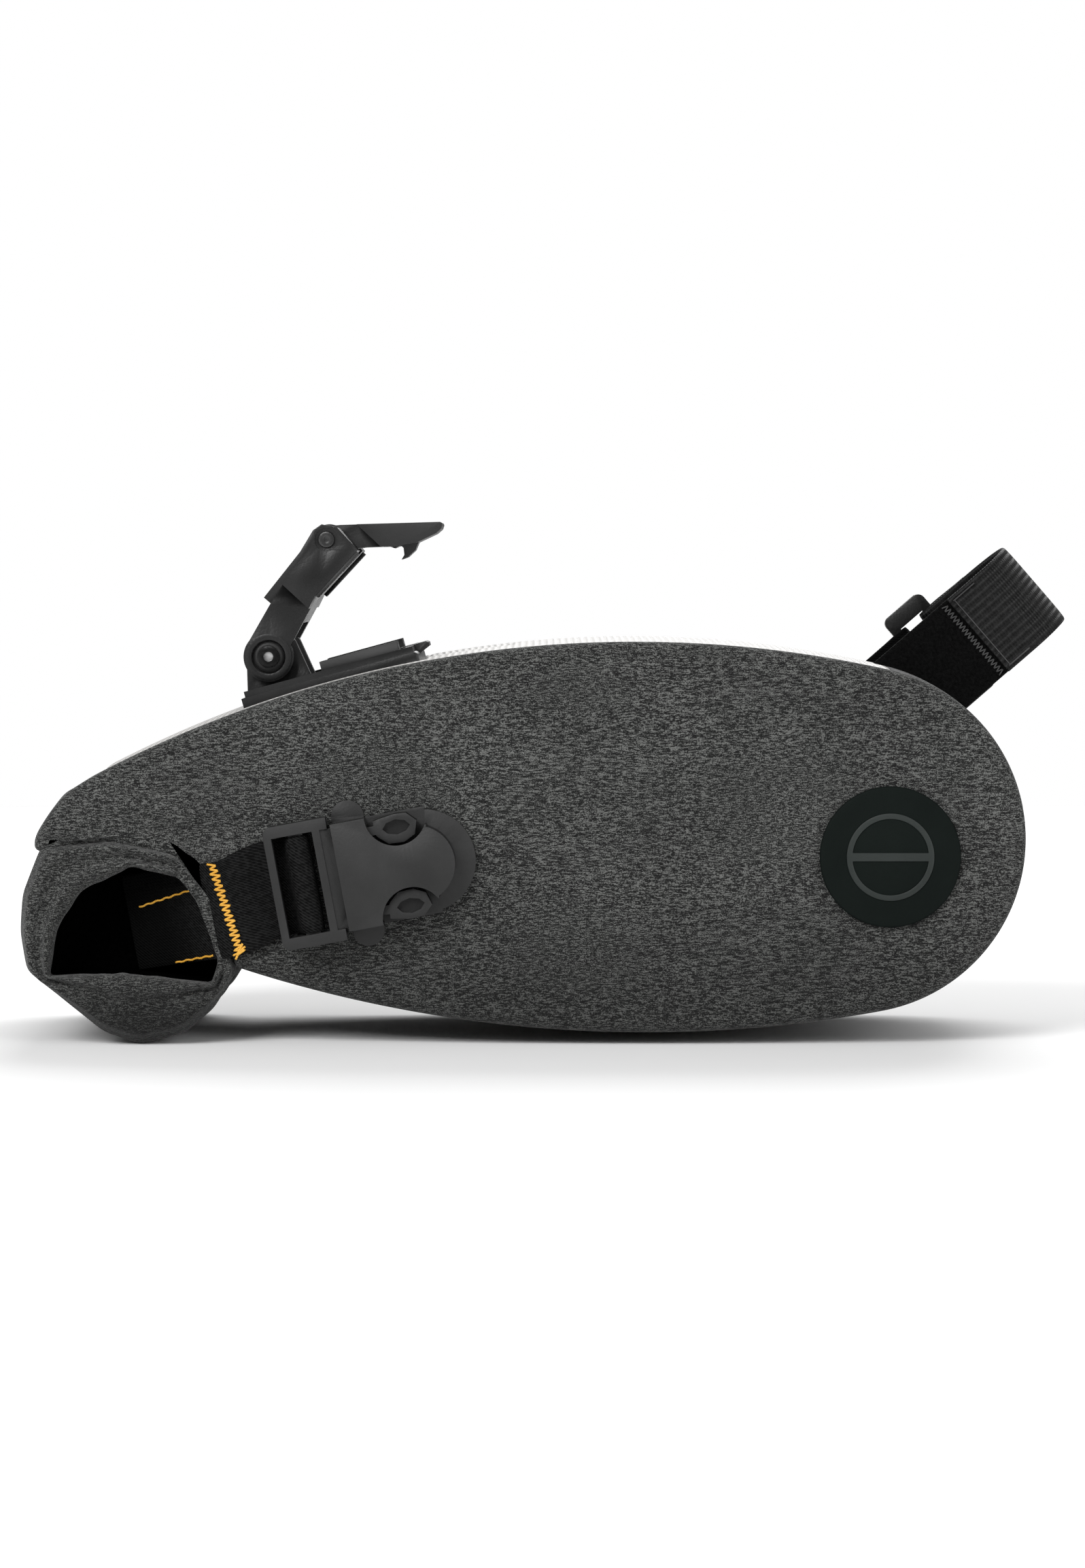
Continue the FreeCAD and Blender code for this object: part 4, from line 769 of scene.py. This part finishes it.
# %% Roll outlines
ROLL_REAR, ROLL_LENGTH, ROLL_HEIGHT = -135.6, 55.9, 53.5
ROLL_HALF = 45.0
LIP_UNDER_WEB = 41.2
PASSAGE_START, PASSAGE_HALF = -97.0, 16.0
BUCKLE = np.array([-52.3, 43.9])
BUCKLE_TILT = math.radians(10.5)
WEBBING_DROP = 3.0
OUTSIDE = np.array([(0.555, 0), (0.39, 0.056), (0.03, 0.357), (0, 0.546), (0.013, 0.733), (0.1, 0.965),
                    (0.411, 1), (0.726, 0.929), (0.92, 0.673), (1, 0.35), (0.893, 0.17), (0.767, 0.056)])
HOLLOW = np.array([(0.522, 0.864), (0.281, 0.742), (0.168, 0.55), (0.14, 0.335), (0.485, 0.344),
                   (0.887, 0.299), (0.923, 0.411), (0.816, 0.71), (0.735, 0.811)])
ROLL_HEART = np.array([-108.0, 29.0])
directions = np.linspace(0, 2 * math.pi, 240, endpoint=False)


def reach(shares, soften):
    """Distance from the roll's heart to a closed line, in each of the 240 directions."""
    line = even(shares * [ROLL_LENGTH, ROLL_HEIGHT] + [ROLL_REAR, 0], 1500, soften) - ROLL_HEART
    angle = np.arctan2(line[:, 1], line[:, 0]) % (2 * math.pi)
    order = np.argsort(angle)
    return np.interp(directions, angle[order], np.linalg.norm(line, axis=1)[order], period=2 * math.pi)


outside = reach(OUTSIDE, 1.4)
hollow = reach(HOLLOW, 0.8)
print("roll wall from", (outside - hollow).min().round(1), "to", (outside - hollow).max().round(1), "mm")


def roll_ring(radius, y):
    """One ring of the roll's near half; where the webbing comes out, the lip lies down under it."""
    x = ROLL_HEART[0] + radius * np.cos(directions)
    z = ROLL_HEART[1] + radius * np.sin(directions)
    off_axis = (z - BUCKLE[1]) * math.cos(BUCKLE_TILT) - (x - BUCKLE[0]) * math.sin(BUCKLE_TILT)
    passage = smooth_step((x - PASSAGE_START) / 4)
    passage = passage * smooth_step((PASSAGE_HALF - np.abs(off_axis + WEBBING_DROP)) / 2)
    y = np.broadcast_to(y, radius.shape)
    y = y + passage * np.clip(-y - LIP_UNDER_WEB, 0, None)
    return np.stack([x, y, z], -1)


LIP_AT, LIP_RISE, LIP_REACH = 0.2, 2.6, 0.15
FLAP_AT, FLAP_RISE, FLAP_REACH = 0.74, 1.9, 0.17
CREASE_SINK = 3.6
EDGE_AT, EDGE_FALL = 0.86, 2.6


def end_face(share):
    """How far the end face stands out at a share of the way from hollow to outside, in mm.

    Two bumps, rise * exp(-((share - at) / reach)^2), are the lip and the flap, with a crease
    between them.  From EDGE_AT outwards the face falls in a straight line.
    """
    lip = LIP_RISE * math.exp(-((share - LIP_AT) / LIP_REACH) ** 2)
    flap = FLAP_RISE * math.exp(-((share - FLAP_AT) / FLAP_REACH) ** 2)
    return ROLL_HALF - CREASE_SINK + lip + flap - EDGE_FALL * max(0.0, share - EDGE_AT) / (1 - EDGE_AT)


HOLLOW_RINGS = 6


def half_roll():
    """Rings from the floor of the near hollow to the middle of the bag."""
    wrinkle = 0.35 * np.sin(directions * 9 + 0.7) + 0.25 * np.sin(directions * 17 + 2)
    rings = [roll_ring(hollow * share, -23.5) for share in (0.2, 0.6, 0.94)]
    for y, share in ((-25, 0.985), (-28, 1.0), (-33, 1.005), (-38, 1.0), (-40.5, 1.0)):
        rings.append(roll_ring(hollow * share + 0.3 * wrinkle, y))
    for share in np.linspace(0.03, 1, 26):
        radius = hollow + (outside - hollow) * share - 0.4 * smooth_step((share - 0.8) / 0.2)
        fade = math.sin(math.pi * share)
        rings.append(roll_ring(radius, fade * wrinkle - end_face(share)))
    for y, pull in ((-38.2, 0.05), (-36, 0), (-30, 0.15), (-22, 0.3), (-12, 0.2), (0, 0.1)):
        rings.append(roll_ring(outside - pull + 0.25 * math.cos(y / 5) * wrinkle, y))
    return rings


near_half = half_roll()
far_half = [ring * [1, -1, 1] for ring in near_half[:-1]][::-1]
roll = skin("rolled_mouth", np.array(near_half + far_half))
roll.data.materials.append(roll_heather_low_shade)
roll.data.materials.append(hollow_shade_cloth)
ring_count = len(near_half) + len(far_half)
# The faces deep in each hollow and the two end caps get the painted-shade cloth.
ring_of_face = np.repeat(np.arange(ring_count - 1), len(directions))
shaded_hollow_face = (ring_of_face < HOLLOW_RINGS) | (ring_of_face >= ring_count - 1 - HOLLOW_RINGS)
inside = np.concatenate([shaded_hollow_face, np.ones(2 * len(directions), bool)]).astype(np.int32)
roll.data.polygons.foreach_set("material_index", inside)
settle(roll, "bag", ["roll_core", "roll_end_near", "roll_end_far", "roll_stiffener"])

# %% [markdown]
# ## Straps and thread
# Webbing is a flat ring carried along a path.  Thread is a small round one.  Both use the same
# carrier: at each point of the path the ring stands square to the line, with one side held in a
# fixed direction so that the strap never twists.  A bevelled curve does the same for a cord, but
# it lets a flat strap turn over in its bends.

# %% Carrier
def evenly(points, step, soften=0.0):
    """An open path resampled to equal steps and softened; its two ends stay where they are."""
    points = np.asarray(points, float)
    place = np.r_[0, np.cumsum(np.linalg.norm(np.diff(points, axis=0), axis=1))]
    count = max(4, int(place[-1] / step))
    even_place = np.linspace(0, place[-1], count)
    line = np.stack([np.interp(even_place, place, points[:, axis]) for axis in range(points.shape[1])], -1)
    if not soften:
        return line
    reach_count = int(3 * soften / step) + 1
    weight = np.exp(-0.5 * (np.arange(-reach_count, reach_count + 1) * step / soften) ** 2)
    weight /= weight.sum()
    head = 2 * line[0] - line[reach_count:0:-1]
    tail = 2 * line[-1] - line[-2:-reach_count - 2:-1]
    padded = np.concatenate([head, line, tail])
    return np.stack([np.convolve(padded[:, axis], weight, "valid") for axis in range(points.shape[1])], -1)


def carry(name, path, across, width, wall, around=28, square=4.0):
    """A strap: a superellipse of width by wall, |x|^square + |z|^square = 1, carried along path.

    across holds the strap's width direction, one for all points or one for each.
    """
    across = np.broadcast_to(np.asarray(across, float), path.shape)
    along = np.gradient(path, axis=0)
    along /= np.linalg.norm(along, axis=1, keepdims=True)
    side = across - along * np.sum(across * along, axis=1, keepdims=True)
    side /= np.linalg.norm(side, axis=1, keepdims=True)
    up = np.cross(along, side)
    turn = np.linspace(0, 2 * math.pi, around, endpoint=False)
    flat = np.sign(np.cos(turn)) * np.abs(np.cos(turn)) ** (2 / square) * width / 2
    high = np.sign(np.sin(turn)) * np.abs(np.sin(turn)) ** (2 / square) * wall / 2
    rings = path[:, None] + side[:, None] * flat[None, :, None] + up[:, None] * high[None, :, None]
    lengths = np.r_[0, np.cumsum(np.linalg.norm(np.diff(path, axis=0), axis=1))] * MM
    return skin(name, rings, lengths, np.append(flat, flat[0]) * MM)


def thread_line(name, path, up, radius=0.32):
    """A sewing thread: a round ring of six points carried along path; up points out of the cloth."""
    path = evenly(path, 0.35)
    return carry(name, path, np.cross(np.gradient(path, axis=0), up), radius * 2, radius * 2, 6, 2.0)


yellow_thread = moulded("yellow_thread", (0.55, 0.27, 0.02), (0.75, 0.4, 0.05), 0.6, 4000.0, 0.00003)
grey_thread = moulded("grey_thread", plain_grey(0.02), plain_grey(0.05), 0.7, 4000.0, 0.00003)

# %% [markdown]
# ## Buckle webbing
# A twill strap is sewn inside the roll.  It comes out over the lip, passes under the rear bar of
# the plug's ladder and turns round its middle bar.  The plug slides out when the buckle is opened.
# Two straps end to end would show a gap at the ladder, so one strap runs the whole way; it is
# baked in place and put on no body.  The yellow bar tack and seams are real threads that lie
# on it.

# %% Buckle webbing
WEBBING_WIDTH, WEBBING_WALL = 25.0, 1.35
STRAP_RUN = [(-57, -15), (-50, -12), (-43, -8.2), (-37, -3.8), (-33, -0.2), (-30, 1.15), (-24, 1.1),
             (-16, 1.1), (-13.3, 1.7), (-12.1, 3.4), (-11.9, 5.6), (-11, 7), (-9.3, 7.35), (-7.6, 7),
             (-6.7, 5.6), (-6.6, 3.4), (-7.6, 2.4)]
run = evenly(STRAP_RUN, 0.4, 0.7)


def drop_at(x):
    """How far the strap's middle line lies below the buckle's axis: not at all at the ladder."""
    return WEBBING_DROP * smooth_step((-17 - x) / 14)


def on_buckle(x, z, height, side):
    """Row-frame points for buckle lengths x, heights z across it and distances out from the panel."""
    across = math.cos(BUCKLE_TILT), math.sin(BUCKLE_TILT)
    return np.stack([BUCKLE[0] + x * across[0] - z * across[1], side * (HALF_WIDTH + height) + 0 * x,
                     BUCKLE[1] + x * across[1] + z * across[0]], -1)


def strap_height(x):
    """Height of the strap's outer face above the panel, on its way from the mouth to the ladder."""
    before = run[:, 0] < -14
    return np.interp(x, run[before, 0], run[before, 1]) + 0.7


STRAP_ACROSS = np.array([-math.sin(BUCKLE_TILT), 0, math.cos(BUCKLE_TILT)])
TACK_TURNS, TACK_PLACE, TACK_HALF = 37, -30.6, 12.2
TACK_SWING, TACK_LEAN = 1.15, 1.6
SEAMS = (("upper_seam_", -54, -38.6, (3.8, 6.3)), ("lower_seam_", -47, -36.5, (-12.0, -11.4)),
         ("tack_tail_", -31, -27.5, (-12.2, -10.8)))
for side, label in ((-1, "near"), (1, "far")):
    path = on_buckle(run[:, 0], -drop_at(run[:, 0]), run[:, 1], side)
    strap = carry("webbing_" + label, path, STRAP_ACROSS, WEBBING_WIDTH, WEBBING_WALL, 40)
    strap.data.materials.append(twill)
    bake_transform(strap)
    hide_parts("buckle_webbing_" + label, "webbing_turn_" + label)

    # The bar tack goes to and fro across the strap; two last points close it with a cross.
    tack = np.linspace(1, -1, TACK_TURNS)
    zigzag = np.where(np.arange(TACK_TURNS) % 2 == 0, -TACK_SWING, TACK_SWING) * (1 + 0.2 * np.sin(tack * 19))
    tack = np.append(tack, [-0.8, -1.08])
    zigzag = np.append(zigzag, [1.3, -1.7])
    along = TACK_PLACE - TACK_LEAN * tack + zigzag
    sewn = on_buckle(along, TACK_HALF * tack - drop_at(along), strap_height(along) + 0.15, side)
    seams = [thread_line("bar_tack_" + label, sewn, (0, side, 0), 0.3)]
    for name, start, end, offset in SEAMS:
        x = np.linspace(start, end, 60)
        wobble = 0.12 * np.sin(x * 2.4)
        z = np.linspace(*offset, 60) + wobble - drop_at(x)
        line = on_buckle(x, z, strap_height(x) + 0.1, side)
        seams.append(thread_line(name + label, line, (0, side, 0), 0.28))
    for seam in seams:
        seam.data.materials.append(yellow_thread)
        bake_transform(seam)
    print("webbing_" + label, "with", len(seams), "seams")

# %% [markdown]
# ## Seatpost strap
# A fuzzy tape leaves the nose on the near side.  A ribbed band is sewn to its end, goes out round
# the seatpost's place, comes back on the far side, passes through a plastic ring and folds back on
# itself.  A short tab holds the ring on the nose.  The loop is stiff enough to stand by itself, so
# its path is drawn with straight runs and arcs, and nothing has to be simulated.

# %% Strap frame
STRAP_TILT = math.radians(41)
STRAP_PLACE = math.radians(62.8)
strap_origin = NOSE + NOSE_RADIUS * np.array([math.cos(STRAP_PLACE), math.sin(STRAP_PLACE)])
strap_x = np.array([math.cos(STRAP_TILT), 0, math.sin(STRAP_TILT)])
strap_z = np.array([-math.sin(STRAP_TILT), 0, math.cos(STRAP_TILT)])


def on_strap(points, z=0.0):
    """Row-frame points for lengths along the strap, places across the loop, and heights z."""
    points = np.asarray(points, float)
    base = np.array([strap_origin[0], 0, strap_origin[1]])
    return (base + points[:, :1] * strap_x + points[:, 1:2] * np.array([0, 1, 0])
            + np.reshape(z, (-1, 1)) * strap_z)


def turn_about(x, y, radius, start, end, count=24):
    """count points on an arc about (x, y), between two angles in degrees."""
    angle = np.radians(np.linspace(start, end, count))
    return np.stack([x + radius * np.cos(angle), y + radius * np.sin(angle)], -1)


BAND_WALL = 1.5
STRAP_REACH = 40.2
RING_SHIFT = 4.4
RING_TURN = 2.6
TIP = STRAP_REACH - BAND_WALL / 2
BEND = 11 + BAND_WALL / 2
band_path = np.concatenate([
    [(18.8, -15.6)], turn_about(TIP - BEND, -15.6 + BEND, BEND, -90, 0),
    turn_about(TIP - BEND, 10.4 - BEND, BEND, 0, 90), [(18, 10.4)],
    turn_about(10.9 + RING_SHIFT, 13, RING_TURN, 270, 90),
    [(19, 15.5), (21.5, 14), (24.5, 12.1), (28, 11.8)]])
tape_path = [(-9, -13.6), (0, -13.9), (22, -13.9)]
tab_path = np.concatenate([[(-9, 12.3), (-4 + RING_SHIFT, 12.0), (-1.2 + RING_SHIFT, 10.7)],
                           turn_about(0.1 + RING_SHIFT, 13, RING_TURN, -90, 90),
                           [(-1.2 + RING_SHIFT, 15.3), (-4 + RING_SHIFT, 14.0), (-9, 13.7)]])

# %% [markdown]
# ## Loop tape
# The soft half of a hook-and-loop closure is a mat of tiny black loops.  Real loops could be grown
# as hair, but they are far too small to tell apart here.  A strong bump from fine noise and a
# little sheen on a very rough black give the same dull, fuzzy face.

# %% Loop tape finish
loop_tape, tree, shader = new_material("loop_tape", 0.98, Sheen_Weight=0.06, Sheen_Roughness=0.35,
                                       Specular_IOR_Level=0.05)
pile = noise(tree, coordinates(tree), 1300, 4, 0.7)
fuzz = ramp(tree, pile, [(0.35, plain_grey(0.0008)), (0.68, plain_grey(0.005))])
tree.links.new(fuzz, shader.inputs["Base Color"])
bump(tree, shader, pile, 0.0012)
print("finish", loop_tape.name)

# %% Seatpost strap pieces
for name, path, wall, material, slot, stands_for in (
        ("seatpost_tape", evenly(tape_path, 0.5, 0.6), 1.9, loop_tape, "loop_tape", ["strap_tape"]),
        ("seatpost_band", evenly(band_path, 0.4, 0.6), BAND_WALL, rib_web, "webbing", ["strap_band"]),
        ("ring_holder", evenly(tab_path, 0.4, 0.5), 1.4, twill, "webbing", ["ring_tab"])):
    piece = carry(name, on_strap(path), strap_z, WEBBING_WIDTH, wall, 44, 5.0)
    piece.data.materials.append(material)
    settle(piece, "bag", stands_for)

# Each seam has its places along the strap, its heights and its depth across the loop.
SEAM_HALF, SEAM_DEPTH = 11.2, -16.45
stitch_swing = 0.9 * np.where(np.arange(41) % 2 == 0, -1, 1)
seam_length = np.linspace(19.8, 27, 30)
rows = (("strap_seam", 17.2 + stitch_swing, np.linspace(-11.6, 11.6, 41), -15.0),
        ("band_seam_low", seam_length, np.full(30, -SEAM_HALF), SEAM_DEPTH),
        ("band_seam_high", seam_length, np.full(30, SEAM_HALF), SEAM_DEPTH),
        ("band_seam_front", np.full(30, 20.2), np.linspace(-SEAM_HALF, SEAM_HALF, 30), SEAM_DEPTH))
for name, x, z, y in rows:
    points = on_strap(np.stack([x, np.full(len(x), y)], -1), z)
    seam = thread_line(name, points, (0, -1, 0), 0.2)
    seam.data.materials.append(grey_thread)
    settle(seam, "bag")

# %% [markdown]
# ## Badge
# A flat rubber badge sits low on the nose.  A cylinder with a bevel would nearly do.  Its disc is
# turned instead, one profile swung round the middle, so that the rim's rounding is a true arc.  The
# raised ring and bar on it are the frame's own plain mark.

# %% Badge
BADGE_BACK, BADGE_FACE = -41.4, -43.25
RIM_START, RIM_RADIUS = -42.7, 0.6
low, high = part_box("badge")
badge_middle = (np.array(low) + np.array(high)) / 2 / MM
badge_radius = (high.x - low.x) / 2 / MM
rim = np.linspace(0, math.pi / 2, 6)
profile = [(0.3 * badge_radius, BADGE_BACK), (0.98 * badge_radius, BADGE_BACK), (badge_radius, -41.8)]
profile += [(badge_radius - RIM_RADIUS * (1 - math.cos(t)), RIM_START - RIM_RADIUS * math.sin(t))
            for t in rim]
profile += [(share * badge_radius, BADGE_FACE) for share in (0.9, 0.7, 0.45, 0.2, 0.05)]
swing = np.linspace(0, 2 * math.pi, 128, endpoint=False)
badge_rings = [np.stack([badge_middle[0] + r * np.cos(swing), np.full(len(swing), y),
                         badge_middle[2] + r * np.sin(swing)], -1) for r, y in profile]
disc = skin("badge_disc", np.array(badge_rings))
disc.data.materials.append(soft_rubber)
settle(disc, "bag", ["badge"])

# %% [markdown]
# ## Finishes of the hard parts
# The clamp, the buckles and the metal keep the frame's shapes.  Each gets its finish and a small
# rounding of its edges, since real moulded edges catch the light.  The frame's triangles are loose,
# so a Weld modifier joins them before the Bevel.

# %% Hard parts
WELD_GAP = 0.000002
SHARP_ANGLE = math.radians(32)
HARD = {"clamp_base": (clamp_plastic, 0.3), "clamp_arm": (clamp_plastic, 0.35),
        "latch_lever": (black_plastic, 0.3), "clamp_backing_plate": (clamp_plastic, 0),
        "rail_cradle_near": (grip_rubber, 0.2), "rail_cradle_far": (grip_rubber, 0.2),
        "arm_grips": (grip_rubber, 0), "badge_mark": (mark_rubber, 0.12),
        "clamp_screws": (dark_steel, 0.1), "hinge_screw": (bolt_steel, 0.12), "hinge_nut": (steel, 0.12),
        "hinge_washers": (black_plastic, 0), "latch_pin": (dark_steel, 0.1), "latch_spring": (steel, 0),
        "strap_ring": (ring_plastic, 0.5)}
for label in ("near", "far"):
    HARD["buckle_socket_" + label] = (black_plastic, 0.3)
    HARD["buckle_plug_" + label] = (black_plastic, 0.3)
    HARD["prong_upper_" + label] = (dish_shaded_plastic, 0.25)
    HARD["prong_lower_" + label] = (dish_shaded_plastic, 0.25)


def finish_part(name, material, edge):
    """Puts the material on a frame node and rounds its sharp edges by edge, in mm."""
    part = nodes[name]
    part.data.materials.clear()
    part.data.materials.append(material)
    part.data.polygons.foreach_set("use_smooth", np.ones(len(part.data.polygons), bool))
    weld = part.modifiers.new("weld", "WELD")
    weld.merge_threshold = WELD_GAP
    if edge:
        bevel = part.modifiers.new("edge", "BEVEL")
        bevel.width = edge * MM
        bevel.segments = 2
        bevel.limit_method = "ANGLE"
        bevel.angle_limit = SHARP_ANGLE
        bevel.harden_normals = True


for name, (material, edge) in HARD.items():
    finish_part(name, material, edge)
print(len(HARD), "hard parts finished")

# %% [markdown]
# ## Floor
# The bag lies on a wide sheet of nearly white paper, a plain grid of points.  It ends 1.1 m from the
# bag.  Seen from the near side it is as pale there as the sky, so no horizon shows.  Seen from behind,
# its far corner is grey: a bigger sheet would give a grey band there instead.

# %% Floor
FLOOR_HALF, FLOOR_POINTS = 1.1, 13
reach_out = np.linspace(-FLOOR_HALF, FLOOR_HALF, FLOOR_POINTS)
plane = np.meshgrid(reach_out, reach_out, indexing="ij")
grid = np.stack([*plane, np.zeros((FLOOR_POINTS, FLOOR_POINTS))], -1)
step = np.arange(FLOOR_POINTS - 1)
i, j = (part.ravel() for part in np.meshgrid(step, step, indexing="ij"))
corner = i * FLOOR_POINTS + j
floor_faces = np.stack([corner, corner + FLOOR_POINTS, corner + FLOOR_POINTS + 1, corner + 1], -1)
floor_mesh = bpy.data.meshes.new("floor")
floor_mesh.from_pydata(grid.reshape(-1, 3), [], floor_faces.tolist())
floor = bpy.data.objects.new("floor", floor_mesh)
bpy.context.scene.collection.objects.link(floor)
paper, tree, shader = new_material("paper", 0.9, Specular_IOR_Level=0.1)
tone = noise(tree, coordinates(tree), 3, 2)
shade = ramp(tree, tone, [(0.3, plain_grey(0.87)), (0.7, plain_grey(0.89))])
tree.links.new(shade, shader.inputs["Base Color"])
floor_mesh.materials.append(paper)
print("floor of", len(floor_faces), "squares")
